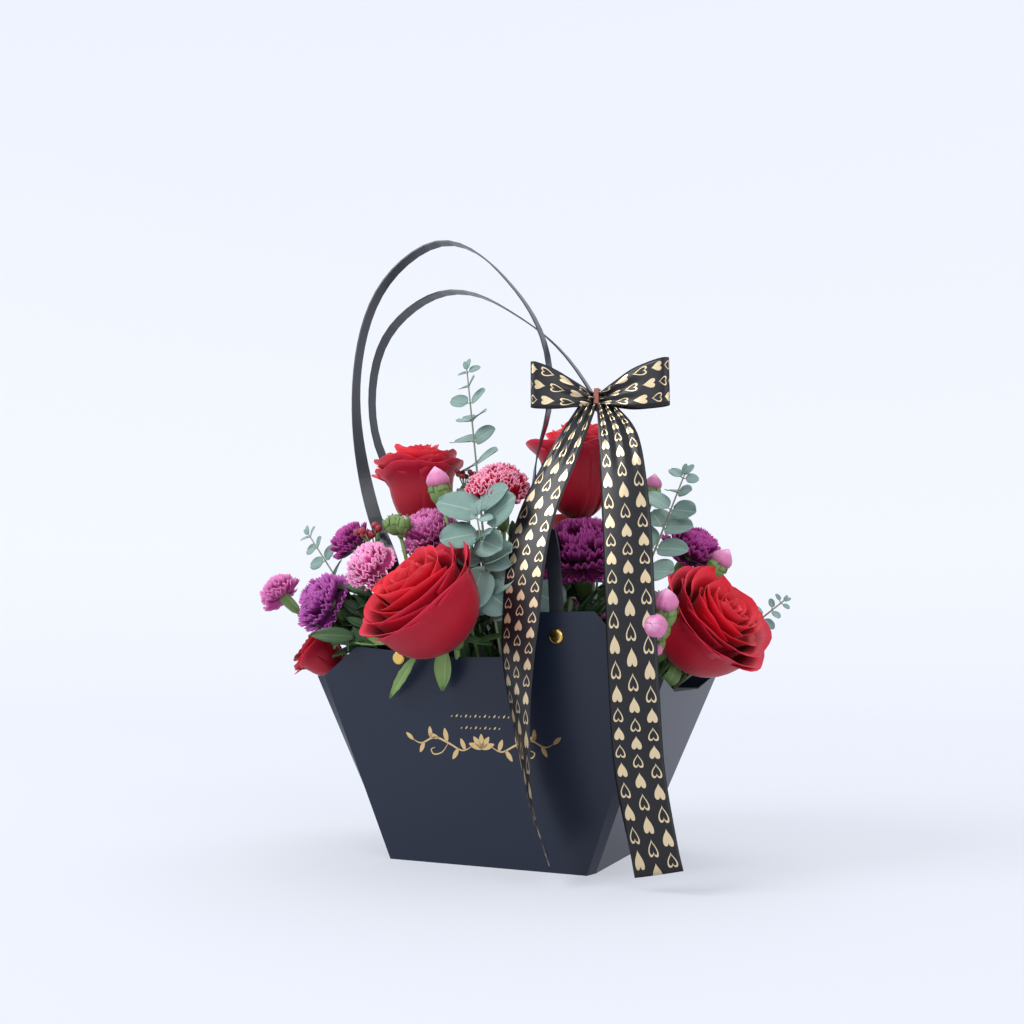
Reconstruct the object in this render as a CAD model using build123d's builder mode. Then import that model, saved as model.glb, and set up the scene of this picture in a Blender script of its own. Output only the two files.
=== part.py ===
"""Carry-handle flower box: a folded card box with two strap handles, a ribbon bow and cut flowers in wet foam.

Millimetres. +Z is up, the box front faces -Y, and the origin is the middle of the base on the table."""

from build123d import *
import math
import os

os.makedirs("parts", exist_ok=True)

# ---- Card box ----
base_width = 140.0
base_depth = 118.0
rim_height = 121.6        # height of the four rim corners
rim_half_width = 117.0    # front panel, middle to rim corner
panel_lean = 13.0         # how far the front and back lean out at the rim
facet_rim_rise = 7.5      # corner facet at the rim, along the width
card = 1.2                # board thickness, measured level
bevel_run = 9.3           # corner facet at the base, along the depth
bevel_rise = 2.7          # corner facet at the base, along the width
facet_rim_run = 2.5       # corner facet at the rim, along the depth
side_dip = 9.0            # the sides' top edge is this much lower in the middle
ear_rise = 41.2           # the handle ears stand this far above the rim corners
ear_outer = 82.5          # ear's outer top corner
ear_inner = 44.0          # ear's inner top corner
cut_rise = 12.9           # level edge between the ears, above the rim corners
cut_half = 19.0           # half the level edge
low_ear_rise = 20.0       # the front left ear is pressed down by its rose
low_ear_outer = 90.0

# ---- Rivets and straps ----
rivet_x = 57.0
rivet_drop = 15.2         # rivets sit this far below the ear top
low_rivet_drop = 28.8
rivet_head = 4.8          # radius of the domed head
rivet_dome = 2.2
rivet_shank = 1.5         # radius
rivet_clearance = 0.05
washer_radius = 4.0
washer_thick = 0.8
strap_width = 9.5
strap_thick = 1.0
tab_below_rivet = 7.0
fold_rise = 0.6           # the strap folds this far above the ear
fold_gap = 0.65
strap_stations = 64
twist_share = 0.3          # share of the strap's length that each twist takes

# ---- Liner and foam ----
liner_gap = 1.6           # film stands off the card, clear of strap ends and washers
liner_wall = 0.4
liner_drop = 9.6          # film's edge, below the rim corners
foam_gap = 0.5
foam_drop = 23.6          # foam's top, below the rim corners
stem_depth = 24.0
stem_clearance = 0.1

# ---- Ribbon ----
ribbon_width = 30.5
ribbon_thick = 0.8

side_flare = rim_half_width + facet_rim_rise - base_width / 2 - bevel_rise
ear_top = rim_height + ear_rise
cut_height = rim_height + cut_rise
low_ear_top = rim_height + low_ear_rise
rivet_height = ear_top - rivet_drop
low_rivet_height = ear_top - low_rivet_drop
fold_height = ear_top + fold_rise
liner_top = rim_height - liner_drop
foam_top = rim_height - foam_drop
lean = panel_lean / rim_height
flare = side_flare / rim_height
strap_seat = card + 0.05          # depth of the strap's outer face behind the card's
washer_seat = strap_seat + strap_thick + 0.05


def front_y(z, inside=0.0):
    """Level distance from the middle to the front card's outer face at height z, less an inside offset."""
    return base_depth / 2 + lean * z - inside


def save(part, name):
    part.label = name
    export_step(part, f"parts/{name}.step")


def octagon(z, inset):
    """Plan of the box at height z, as its outer card face moved inwards."""
    share = z / rim_height
    x_side = base_width / 2 + bevel_rise + flare * z - inset
    y_front = front_y(z, inset)
    x_front = base_width / 2 + (rim_half_width - base_width / 2) * share - inset * 0.75
    run = bevel_run + (facet_rim_run - bevel_run) * share
    y_side = y_front - run + inset * 0.25
    quarter = [(x_front, -y_front), (x_side, -y_side)]
    right = quarter + [(x, -y) for x, y in reversed(quarter)]
    return right + [(-x, -y) for x, y in right]


def tapered_block(bottom, top, inset):
    """A solid that follows the box walls from one height to another."""
    with BuildPart() as block:
        for z in (bottom, top):
            with BuildSketch(Plane.XY.offset(z)):
                with BuildLine():
                    Polyline(*octagon(z, inset), close=True)
                make_face()
        loft(ruled=True)
    return block.part


def on_card(x, z, side):
    """Point on the outer face of the front or back card."""
    return Vector(x, side * front_y(z), z)


# ---- Front and back panels ----
def panel(side, left_ear, left_rivet):
    half = base_width / 2
    right_ear = [(cut_half, cut_height), (ear_inner - 17.0, cut_height + 4.0), (ear_inner - 4.0, ear_top),
                 (ear_outer, ear_top), (rim_half_width, rim_height)]
    outline = [(-half, 0), (half, 0)] + list(reversed(right_ear)) + left_ear
    reach = base_depth
    with BuildPart() as plate:
        with BuildSketch(Plane.XZ):
            with BuildLine():
                Polyline(*outline, close=True)
            make_face()
        extrude(amount=-side * reach)
        with BuildSketch(Plane.YZ):
            with BuildLine():
                Polyline(*[(side * front_y(z, inset), z)
                           for z, inset in ((0, 0), (ear_top, 0), (ear_top, card), (0, card))], close=True)
            make_face()
        extrude(amount=rim_half_width + 1, both=True, mode=Mode.INTERSECT)
        for x, z in ((-rivet_x, left_rivet), (rivet_x, rivet_height)):
            with BuildSketch(rivet_plane(x, z, side)):
                Circle(rivet_shank + rivet_clearance)
            extrude(amount=4 * card, both=True, mode=Mode.SUBTRACT)
    return plate.part


def rivet_plane(x, z, side, inside=0.0):
    """Plane across a rivet, facing out of the box, at a depth behind the card's outer face."""
    return Plane(origin=on_card(x, z, side), x_dir=(-side, 0, 0), z_dir=(0, side, -lean)).offset(-inside)


tall_left_ear = [(-cut_half, cut_height), (17.0 - ear_inner, cut_height + 4.0), (4.0 - ear_inner, ear_top),
                 (-ear_outer, ear_top), (-rim_half_width, rim_height)]
low_left_ear = [(-cut_half, cut_height), (-low_ear_outer, low_ear_top), (-rim_half_width, rim_height)]
save(panel(-1, low_left_ear, low_rivet_height), "front_panel")
save(panel(1, tall_left_ear, rivet_height), "back_panel")


# ---- Side gussets: a flared side card with a narrow folded facet at each corner ----
def gusset(side):
    base_x = base_width / 2 + bevel_rise
    half_base = base_depth / 2 - bevel_run
    half_rim = front_y(rim_height) - facet_rim_run
    with BuildPart() as wall:
        with BuildSketch(Plane.YZ):
            with BuildLine():
                Polyline((-half_base, 0), (half_base, 0), (half_rim, rim_height),
                         (half_rim * 0.45, rim_height - side_dip),
                         (-half_rim * 0.45, rim_height - side_dip), (-half_rim, rim_height), close=True)
            make_face()
        extrude(amount=side * 2 * base_width)
        with BuildSketch(Plane.XZ):
            with BuildLine():
                Polyline(*[(side * (base_x + flare * z - inset), z)
                           for z, inset in ((0, 0), (rim_height, 0), (rim_height, card), (0, card))], close=True)
            make_face()
        extrude(amount=base_depth, both=True, mode=Mode.INTERSECT)
        for end in (-1, 1):
            for z, corner_x, side_x, front, run in (
                (0, base_width / 2, base_x, base_depth / 2, bevel_run),
                (rim_height, rim_half_width, base_x + side_flare, front_y(rim_height), facet_rim_run),
            ):
                with BuildSketch(Plane.XY.offset(z)):
                    with BuildLine():
                        Polyline((side * corner_x, end * front), (side * side_x, end * (front - run)),
                                 (side * (side_x - card), end * (front - run)),
                                 (side * corner_x, end * (front - card)), close=True)
                    make_face()
            loft(ruled=True)
    return wall.part


save(gusset(-1), "left_gusset")
save(gusset(1), "right_gusset")

# ---- Base board, film liner and wet foam ----
save(tapered_block(0, card, card + 0.3), "base_board")

with BuildPart() as film_liner:
    add(tapered_block(card + 0.2, liner_top, card + liner_gap))
    add(tapered_block(card + 0.2 + liner_wall, liner_top + 1, card + liner_gap + liner_wall), mode=Mode.SUBTRACT)
save(film_liner.part, "film_liner")


# ---- Rivets, washers and the strap ends that they hold ----
def rivet(x, z, side):
    with BuildPart() as pin:
        with BuildSketch(rivet_plane(x, z, side)):
            Circle(rivet_head)
        extrude(amount=rivet_dome)
        fillet(pin.faces().sort_by(Axis.Y)[-1 if side > 0 else 0].edges(), rivet_dome * 0.8)
        with BuildSketch(rivet_plane(x, z, side)):
            Circle(rivet_shank)
        extrude(amount=-(washer_seat + washer_thick))
    return pin.part


def washer(x, z, side):
    with BuildPart() as ring:
        with BuildSketch(rivet_plane(x, z, side, washer_seat)):
            Circle(washer_radius)
            Circle(rivet_shank + rivet_clearance, mode=Mode.SUBTRACT)
        extrude(amount=-washer_thick)
    return ring.part


def strap_end(x, z, side):
    """Flat end of a strap on the inside of the card, from below its rivet up to the fold."""
    with BuildPart() as tab:
        length = (fold_height - z) * math.hypot(1, lean) + tab_below_rivet
        with BuildSketch(rivet_plane(x, z, side, strap_seat)):
            with Locations((0, (length / 2 - tab_below_rivet))):
                Rectangle(strap_width, length)
            Circle(rivet_shank + rivet_clearance, mode=Mode.SUBTRACT)
        extrude(amount=-strap_thick)
    return tab.part


def hold(shapes, name):
    """Writes several like pieces as one node of separate solids."""
    save(Compound(children=list(shapes)) if len(shapes) > 1 else shapes[0], name)


for side, word, left_z in ((-1, "front", low_rivet_height), (1, "back", rivet_height)):
    places = [(-rivet_x, left_z), (rivet_x, rivet_height)]
    for (x, z), hand in zip(places, ("left", "right")):
        save(rivet(x, z, side), f"{word}_{hand}_rivet")
    hold([washer(x, z, side) for x, z in places], f"{word}_washers")
    hold([strap_end(x, z, side) for x, z in places], f"{word}_strap_ends")


# ---- Strap loops ----
def fold_point(x, side):
    """Middle of the strap, just above the fold where its flat end stops."""
    start = rivet_plane(x, rivet_height, side, strap_seat + strap_thick / 2)
    return start.origin + start.y_dir * ((fold_height + fold_gap - start.origin.Z) / start.y_dir.Z)


def strap_loop(points, side):
    """A flat strap along a smooth line: flat to the card at its two ends, turned on edge over the top."""
    route = [Vector(x, y, ear_top + rise) for x, y, rise in points]
    route = [fold_point(-rivet_x, side)] + route + [fold_point(rivet_x, side)]
    with BuildLine() as line:
        Spline(*route, tangents=[(0, side * lean, 1), (0, -side * lean, -1)])
    path = line.edges()[0]
    with BuildPart() as strap:
        for i in range(strap_stations + 1):
            share = i / strap_stations
            along = path % share
            on_edge = math.sin(math.pi / 2 * min(1.0, share / twist_share, (1 - share) / twist_share)) ** 2
            level = (Vector(0, 1, 0) - along * along.Y).normalized()
            flat = level.cross(along)
            angle = math.pi / 2 * on_edge
            across = level * math.sin(angle) + flat * math.cos(angle)
            with BuildSketch(Plane(origin=path @ share, x_dir=across, z_dir=along)):
                Rectangle(strap_width, strap_thick)
        loft(ruled=True)
    print(f"strap length {path.length:.0f}, volume {strap.part.volume:.0f}, "
          f"section times length {path.length * strap_width * strap_thick:.0f}")
    return strap.part


# ---- Where the loops run: each point is across, forward or back, and up from the ears' top ----
front_route = [
    (-83.0, -59.5, 61.2), (-98.0, -61.0, 115.2), (-102.0, -62.0, 154.2), (-99.0, -62.0, 193.2),
    (-84.0, -62.0, 232.2), (-60.0, -62.0, 254.2), (-33.0, -62.0, 261.7), (-6.0, -62.0, 250.2),
    (17.0, -62.0, 227.2), (35.0, -62.0, 201.7), (45.0, -62.0, 177.2), (48.0, -61.0, 151.2),
    (44.5, -58.0, 129.2), (34.0, -54.0, 97.2), (40.0, -60.0, 52.2),
]
back_route = [
    (-84.0, 54.0, 42.2), (-108.0, 22.0, 95.2), (-118.0, 0.0, 129.2), (-119.0, -12.0, 172.2),
    (-104.0, -22.0, 207.2), (-73.0, -34.0, 226.7), (-35.0, -44.0, 231.7), (-10.0, -47.0, 224.2),
    (14.0, -48.0, 209.2), (36.0, -48.0, 192.2), (51.0, -48.0, 177.2), (65.0, -48.0, 158.2),
    (76.0, -46.0, 139.2), (87.0, -22.0, 109.2), (88.0, 14.0, 73.2), (72.0, 52.0, 33.2),
]
handle_front = strap_loop(front_route, -1)
save(handle_front, "handle_front")
handle_back = strap_loop(back_route, 1)
save(handle_back, "handle_back")


# ---- Ribbon: a bow tied to the back strap, with two tails down the front ----
knot_at = Vector(79.5, -52.0, ear_top + 138.7)
knot_size = Vector(9.0, 13.0, 13.0)
band_wall = 0.8
band_width = 3.2
band_wrap = 5.0

# Stations of a loop: across, forward or back, up, thickness and height.
left_loop = [(-4.8, -3.0, 0.5, 6.0, 9.0), (-20.5, -16.0, 6.0, 8.0, 26.0), (-37.0, -24.0, 9.5, 6.0, ribbon_width)]
right_loop = [(4.8, -3.0, 1.0, 6.0, 9.0), (24.0, -10.0, 2.5, 9.0, 24.0), (48.5, -14.0, 5.0, 6.0, ribbon_width)]
# Stations of a tail: across, forward or back, up, width and turn in degrees.
left_tail = [
    (-7.0, -9.0, -7.0, 14.0, 0), (-21.0, -18.0, -40.5, 24.0, -8), (-34.0, -28.0, -77.5, ribbon_width, -14),
    (-38.5, -35.0, -109.5, ribbon_width, -14), (-40.5, -38.0, -140.5, ribbon_width, -17),
    (-42.0, -39.0, -171.5, ribbon_width, -28), (-40.0, -39.0, -206.5, ribbon_width, -46),
    (-33.5, -39.0, -253.5, ribbon_width, -61), (-21.5, -39.0, -288.5, ribbon_width, -66),
]
right_tail = [
    (8.0, -9.0, -7.0, 14.0, 0), (18.0, -16.0, -30.5, 27.0, 0), (26.0, -28.0, -83.5, ribbon_width, 6),
    (30.0, -36.0, -132.5, ribbon_width, 8), (33.0, -39.0, -192.5, ribbon_width, 6),
    (36.0, -39.0, -237.5, ribbon_width, 4), (46.0, -39.0, -290.5, ribbon_width, -8),
]


def bow_loop(stations):
    """A folded ribbon loop as one closed solid that widens away from the knot."""
    with BuildPart() as loop:
        for across, forward, up, thick, height in stations:
            with BuildSketch(Plane(origin=knot_at + Vector(across, forward, up), x_dir=(0, 1, 0), z_dir=(1, 0, 0))):
                Rectangle(thick, height)
        loft(ruled=True)
    return loop.part


def ribbon_tail(stations):
    """A hanging ribbon tail: a thin sheet, gathered at the knot, that may turn on edge lower down."""
    with BuildPart() as sheet:
        for across, forward, up, width, turn in stations:
            angle = math.radians(turn)
            place = Plane(origin=knot_at + Vector(across, forward, up),
                          x_dir=(math.cos(angle), math.sin(angle), 0), z_dir=(0, 0, -1))
            with BuildSketch(place):
                Rectangle(width, ribbon_thick)
        loft(ruled=True)
    return sheet.part


save(bow_loop(left_loop), "bow_left_loop")
save(bow_loop(right_loop), "bow_right_loop")
save(ribbon_tail(left_tail), "ribbon_left_tail")
save(ribbon_tail(right_tail), "ribbon_right_tail")

with BuildPart() as bow_knot:
    with Locations(knot_at):
        Box(*knot_size)
    add(handle_back, mode=Mode.SUBTRACT)
    keep = bow_knot.solids().sort_by(SortBy.VOLUME)[-1]
save(keep, "bow_knot")

with BuildPart() as bow_band:
    with Locations(knot_at - Vector(0, (knot_size.Y - band_wrap + band_wall) / 2, 0)):
        Box(band_width, band_wrap + band_wall, knot_size.Z + 2 * band_wall)
    with Locations(knot_at):
        Box(*knot_size, mode=Mode.SUBTRACT)
save(bow_band.part, "bow_band")


# ---- Flowers: every stem runs from a hole in the foam to the base of its head ----
foam_half_x = base_width / 2 + bevel_rise + flare * foam_top - card - liner_gap
foam_half_y = front_y(foam_top, card + liner_gap)
rim_half_y = front_y(rim_height)
stem_radius = 2.0
twig_radius = 1.3
leaf_pairs = 4
leaf_thick = 0.6


def head_spot(across, back, up):
    """Place of a head: shares of the rim's half width and half depth, and a height above the rim."""
    return Vector(across * rim_half_width, back * rim_half_y, rim_height + up)


def foam_spot(across, back):
    """Bottom of a stem's hole, by shares of the foam's half width and half depth."""
    return Vector(across * foam_half_x, back * foam_half_y, foam_top - stem_depth)


def rod(start, end, radius):
    """A straight round bar, used for the stems and for their holes."""
    with BuildPart() as bar:
        with BuildSketch(Plane(origin=start, z_dir=end - start)):
            Circle(radius)
        extrude(amount=(end - start).length)
    return bar.part


def turned(profile, size, base, facing):
    """A solid of revolution that stands on base and looks along facing. Profile is radius and height."""
    place = Plane(origin=base, z_dir=facing)
    points = [(r * size, h * size) for r, h in profile]
    with BuildPart() as head:
        with BuildSketch(Plane(origin=base, x_dir=place.x_dir, z_dir=place.y_dir * -1)):
            with BuildLine():
                Polyline((0, -size * 0.05), (points[0][0], -size * 0.05), *points, (0, points[-1][1]), close=True)
            make_face()
        revolve(axis=Axis(base, facing))
    return head.part


def rose(base, facing, size, foot):
    cup = [(0.16, 0.0), (0.5, 0.3), (0.78, 0.7), (0.95, 1.15), (0.9, 1.45), (0.6, 1.62), (0.3, 1.66)]
    return [turned(cup, size, base, facing)]


def carnation(base, facing, size, foot):
    ruff = [(0.16, 0.0), (0.24, 0.7), (0.55, 0.95), (0.95, 1.1), (0.95, 1.35), (0.7, 1.65), (0.35, 1.78)]
    return [turned(ruff, size, base, facing)]


def bud(base, facing, size, foot):
    pod = [(0.3, 0.0), (0.75, 0.6), (0.95, 1.4), (0.8, 2.2), (0.4, 2.7)]
    return [turned(pod, size, base, facing)]


def bud_fork(base, facing, size, foot):
    """Three narrow buds that fork from one stem."""
    spread = facing.cross(Vector(0, 0, 1)).normalized()
    pod = [(0.2, 0.0), (0.42, 0.8), (0.5, 1.4), (0.4, 2.0), (0.15, 2.4)]
    return [turned(pod, size, base, (facing + spread * sway).normalized()) for sway in (-0.55, 0.0, 0.55)]


def berry_pair(base, facing, size, foot):
    """Two round berries side by side on one stem."""
    spread = facing.cross(Vector(0, 1, 0)).normalized()
    berry = [(0.2, 0.0), (0.5, 0.5), (0.85, 1.1), (0.85, 1.7), (0.4, 2.2)]
    return [turned(berry, size, base, (facing + spread * sway).normalized()) for sway in (-0.6, 0.6)]


def leaf_sprig(base, facing, size, foot):
    """Pairs of round leaves along the top of the stem, larger further down."""
    run = (foot - base).normalized()
    first = run.cross(Vector(0, 1, 0)).normalized()
    second = run.cross(first).normalized()
    leaves = []
    for i in range(leaf_pairs):
        reach = size * (0.55 + 0.15 * i)
        point = base + run * size * (0.3 + 1.15 * i)
        out = first if i % 2 == 0 else second
        for hand in (-1, 1):
            place = Plane(origin=point + out * hand * reach * 0.95, x_dir=out, z_dir=run + out * hand * 0.4)
            with BuildPart() as leaf:
                with BuildSketch(place):
                    Ellipse(reach, reach * 0.85)
                extrude(amount=leaf_thick, both=True)
            leaves.append(leaf.part)
    return leaves


# Each kind: what shapes its head, how far the head's base is behind its middle, and its stem's radius.
kinds = {
    "rose": (rose, 0.85, stem_radius), "carnation": (carnation, 1.25, stem_radius),
    "bud": (bud, 1.4, twig_radius), "buds": (bud_fork, 1.6, twig_radius),
    "berries": (berry_pair, 1.3, twig_radius), "sprig": (leaf_sprig, 0.0, twig_radius),
}

# Each line: name, kind, head's place, the way it looks, its radius, and its stem's place in the foam.
flowers = [
    ("rose_front_left", "rose", (-0.25, -1.36, 49), (-0.12, -0.78, 0.62), 37, (-0.20, -0.60)),
    ("rose_back_left", "rose", (-0.68, -0.22, 137), (-0.18, -0.1, 1), 32, (-0.43, -0.12)),
    ("rose_centre", "rose", (0.34, 0.03, 140), (0, -0.1, 1), 29, (0.18, -0.03)),
    ("rose_right", "rose", (1.25, -0.39, 32), (0.62, -0.45, 0.64), 33, (0.56, -0.30)),
    ("rose_rim_left", "rose", (-1.19, -0.61, 14), (-0.8, -0.35, 0.45), 19, (-0.72, -0.45)),
    ("rose_back", "rose", (-0.22, 1.00, 70), (-0.2, 0.65, 0.75), 28, (-0.14, 0.54)),
    ("rose_back_right", "rose", (0.22, 0.78, 100), (0.2, 0.5, 0.85), 28, (0.14, 0.33)),
    ("carnation_far_left", "carnation", (-1.62, -0.36, 61), (-0.7, -0.2, 0.7), 18, (-0.54, -0.12)),
    ("carnation_left", "carnation", (-1.01, -1.00, 50), (-0.45, -0.7, 0.5), 19, (-0.56, -0.63)),
    ("carnation_pink", "carnation", (-0.64, -1.17, 74), (-0.3, -0.75, 0.6), 16, (-0.39, -0.66)),
    ("carnation_dark_left", "carnation", (-1.04, -0.44, 97), (-0.5, -0.3, 0.8), 16, (-0.61, -0.24)),
    ("carnation_mid", "carnation", (-0.37, -0.78, 97), (-0.1, -0.6, 0.8), 16, (-0.27, -0.39)),
    ("carnation_variegated", "carnation", (0.10, -0.92, 126), (0.1, -0.45, 0.9), 21, (-0.04, -0.42)),
    ("carnation_centre", "carnation", (0.48, -0.39, 79), (0.1, -0.6, 0.75), 22, (0.23, -0.39)),
    ("carnation_right", "carnation", (1.06, 0.14, 84), (0.6, -0.2, 0.75), 20, (0.52, 0.15)),
    ("carnation_back_left", "carnation", (-0.89, 0.42, 58), (-0.5, 0.4, 0.75), 22, (-0.50, 0.33)),
    ("carnation_back_middle", "carnation", (0.15, 1.19, 50), (0, 0.8, 0.6), 21, (0.05, 0.66)),
    ("carnation_back_right", "carnation", (1.04, 0.67, 44), (0.6, 0.5, 0.6), 22, (0.57, 0.51)),
    ("bud_pink_left", "bud", (-0.26, -0.94, 125), (-0.1, -0.3, 1), 8, (0.02, -0.62)),
    ("buds_green", "buds", (-0.51, -1.06, 106), (-0.1, -0.4, 0.9), 9, (-0.34, -0.51)),
    ("buds_pink_right", "buds", (1.08, -0.92, 44), (0.4, -0.6, 0.7), 8, (0.59, -0.63)),
    ("bud_top_right", "bud", (0.87, -0.14, 124), (0.2, -0.1, 1), 6, (0.39, -0.12)),
    ("bud_low_right", "bud", (1.24, -0.17, 71), (0.6, 0, 0.8), 7, (0.63, 0.09)),
    ("berries_left", "berries", (-0.70, -0.99, 94), (-0.2, -0.5, 0.8), 5, (-0.47, -0.27)),
    ("berries_centre", "berries", (-0.35, -0.11, 142), (0, 0, 1), 6, (-0.20, 0.06)),
    ("eucalyptus_tall", "sprig", (-0.29, -0.28, 222), (-0.15, 0, 1), 12, (-0.09, -0.09)),
    ("eucalyptus_left", "sprig", (-1.59, -0.06, 112), (-0.6, 0, 0.6), 12, (-0.60, 0.06)),
    ("eucalyptus_front", "sprig", (0.06, -1.22, 104), (0, -0.5, 0.8), 9, (0.16, -0.69)),
    ("eucalyptus_right", "sprig", (1.10, -0.36, 132), (0.3, -0.1, 0.9), 10, (0.47, -0.42)),
    ("eucalyptus_far_right", "sprig", (1.57, 0.19, 50), (0.9, 0.1, 0.4), 8, (0.50, 0.24)),
    ("eucalyptus_back", "sprig", (-0.42, 0.90, 150), (0, 0.4, 0.9), 9, (-0.32, 0.33)),
]

stems = []
for name, kind, place, way, size, foot in flowers:
    build_head, setback, girth = kinds[kind]
    facing = Vector(*way).normalized()
    base = head_spot(*place) - facing * size * setback
    bottom = foam_spot(*foot)
    stems.append((bottom, base, girth))
    with BuildPart() as flower:
        add(rod(bottom, base, girth))
        for shape in build_head(base, facing, size, bottom):
            add(shape)
    save(flower.part, name)

with BuildPart() as floral_foam:
    add(tapered_block(card + 0.2 + liner_wall, foam_top, card + liner_gap + liner_wall + foam_gap))
    for bottom, base, girth in stems:
        run = (base - bottom).normalized()
        add(rod(bottom - run * 0.1, bottom + run * stem_depth * 3, girth + stem_clearance), mode=Mode.SUBTRACT)
save(floral_foam.part, "floral_foam")
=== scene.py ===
# %% [markdown]
# # Flower box, the looks
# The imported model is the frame: it has every piece at its true size, and plain shapes for the soft ones. This notebook
# keeps the card, rivets and straps and puts petals, leaves and ribbon where the plain flowers stand, so that they move
# with the same bodies. Lengths inside the helpers are millimetres in the model's own axes; they turn into metres when
# a mesh is made.

# %% Start
import math

import bpy
import numpy as np
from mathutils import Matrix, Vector


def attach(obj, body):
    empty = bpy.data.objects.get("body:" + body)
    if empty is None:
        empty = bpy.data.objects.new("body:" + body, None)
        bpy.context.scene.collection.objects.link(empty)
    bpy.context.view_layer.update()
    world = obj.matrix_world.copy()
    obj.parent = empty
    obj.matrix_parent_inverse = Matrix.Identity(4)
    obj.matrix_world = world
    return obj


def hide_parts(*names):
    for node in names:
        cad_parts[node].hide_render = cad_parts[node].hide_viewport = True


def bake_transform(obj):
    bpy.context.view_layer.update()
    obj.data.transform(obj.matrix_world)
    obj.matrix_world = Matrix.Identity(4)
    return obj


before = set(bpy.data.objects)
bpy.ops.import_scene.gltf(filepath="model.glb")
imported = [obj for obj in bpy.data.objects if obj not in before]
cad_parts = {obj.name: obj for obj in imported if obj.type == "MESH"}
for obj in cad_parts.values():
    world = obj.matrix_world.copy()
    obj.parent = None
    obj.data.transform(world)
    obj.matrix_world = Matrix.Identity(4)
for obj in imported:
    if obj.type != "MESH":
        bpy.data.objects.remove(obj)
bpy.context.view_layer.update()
MM = 0.001
print("frame with", len(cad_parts), "nodes")

# %% [markdown]
# ## Camera
# The box is seen from its front right, at table height and looking slightly up. The camera comes first, because every
# later choice is judged through it.

# %% Camera
scene = bpy.context.scene
camera = bpy.data.objects.new("camera", bpy.data.cameras.new("camera"))
scene.collection.objects.link(camera)
scene.camera = camera
camera.data.sensor_width = 36
camera.data.lens = 37.83
camera.data.clip_start = 0.05
camera.location = (0.30585, -0.71017, 0.13731)
look = Vector((-0.39935, 0.90758, 0.12966))
camera.rotation_mode = "QUATERNION"
camera.rotation_quaternion = look.to_track_quat("-Z", "Y")
print("camera set")

# %% [markdown]
# ## Mesh helpers
# Petals, leaves and ribbon are thin sheets, and stems are round. They could be sculpted, or be planes with a Solidify
# modifier. Here a grid of points is wrapped into a thin closed shell, or rings into a closed tube, because hundreds of
# them then need only a formula each. A piece is its points, quads, UVs, material number and a tone for its colour.

# %% Mesh helpers
def shell(grid, thick, mat=0, tone=0.5, v_scale=1.0):
    """A thin closed solid around a grid of points."""
    rows, cols, _ = grid.shape
    across = np.gradient(grid, axis=1)
    along = np.gradient(grid, axis=0)
    normal = np.cross(across, along)
    normal /= np.linalg.norm(normal, axis=2, keepdims=True) + 1e-9
    points = np.concatenate([(grid + normal * thick / 2).reshape(-1, 3), (grid - normal * thick / 2).reshape(-1, 3)])
    i = np.arange(rows * cols).reshape(rows, cols)
    a, b, c, d = i[:-1, :-1], i[:-1, 1:], i[1:, 1:], i[1:, :-1]
    upper = np.stack([a, b, c, d], -1).reshape(-1, 4)
    lower = np.stack([a, d, c, b], -1).reshape(-1, 4) + rows * cols
    edge = np.concatenate([i[0, :-1], i[:-1, -1], i[-1, :0:-1], i[:0:-1, 0]])
    after = np.roll(edge, -1)
    rim = np.stack([edge, edge + rows * cols, after + rows * cols, after], -1)
    u, v = np.meshgrid(np.linspace(0, 1, cols), np.linspace(0, v_scale, rows))
    uv = np.tile(np.stack([u, v], -1).reshape(-1, 2), (2, 1))
    return [points, np.concatenate([upper, lower, rim]), uv, mat, tone]


print("shell ready")

# %% [markdown]
# ## Tubes
# Stems, twigs, calyxes and berries are round. A bevelled curve would do, but its ends and its radius along the way are
# easier to set as rings: each ring is turned as little as it can be from the one before, so the tube doesn't twist.

# %% Tube helper
def tube(path, radii, sides=8, mat=0, tone=0.5):
    """A closed round tube along a path, with its own radius at each point."""
    path = np.asarray(path, float)
    radii = np.broadcast_to(np.asarray(radii, float), (len(path),))
    run = np.gradient(path, axis=0)
    run /= np.linalg.norm(run, axis=1, keepdims=True) + 1e-9
    side = np.cross(run[0], (0.3, 0.9, 0.2))
    rings = []
    for centre, way, radius in zip(path, run, radii):
        side = side - way * side.dot(way)
        side /= np.linalg.norm(side)
        other = np.cross(way, side)
        turn = np.arange(sides) * 2 * math.pi / sides
        rings.append(centre + radius * (np.outer(np.cos(turn), side) + np.outer(np.sin(turn), other)))
    points = np.concatenate(rings)
    i = np.arange(len(path) * sides).reshape(len(path), sides)
    after = np.roll(i, -1, axis=1)
    wall = np.stack([i[:-1], after[:-1], after[1:], i[1:]], -1).reshape(-1, 4)
    last = i[-1]
    caps = []
    for k in range(sides // 2 - 1):
        caps.append([sides - 1 - k, sides - 2 - k, k + 1, k])
        caps.append([last[k], last[k + 1], last[sides - 2 - k], last[sides - 1 - k]])
    u, v = np.meshgrid(np.linspace(0, 1, sides), np.linspace(0, 1, len(path)))
    return [points, np.concatenate([wall, np.array(caps)]), np.stack([u, v], -1).reshape(-1, 2), mat, tone]


print("tube ready")

# %% [markdown]
# ## From pieces to one object
# A flower has dozens of petals. As separate objects they would be slow and hard to follow, so all pieces of a flower
# are turned to its place and written into one mesh. The object itself stays at the origin; the place is in its points.

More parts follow.
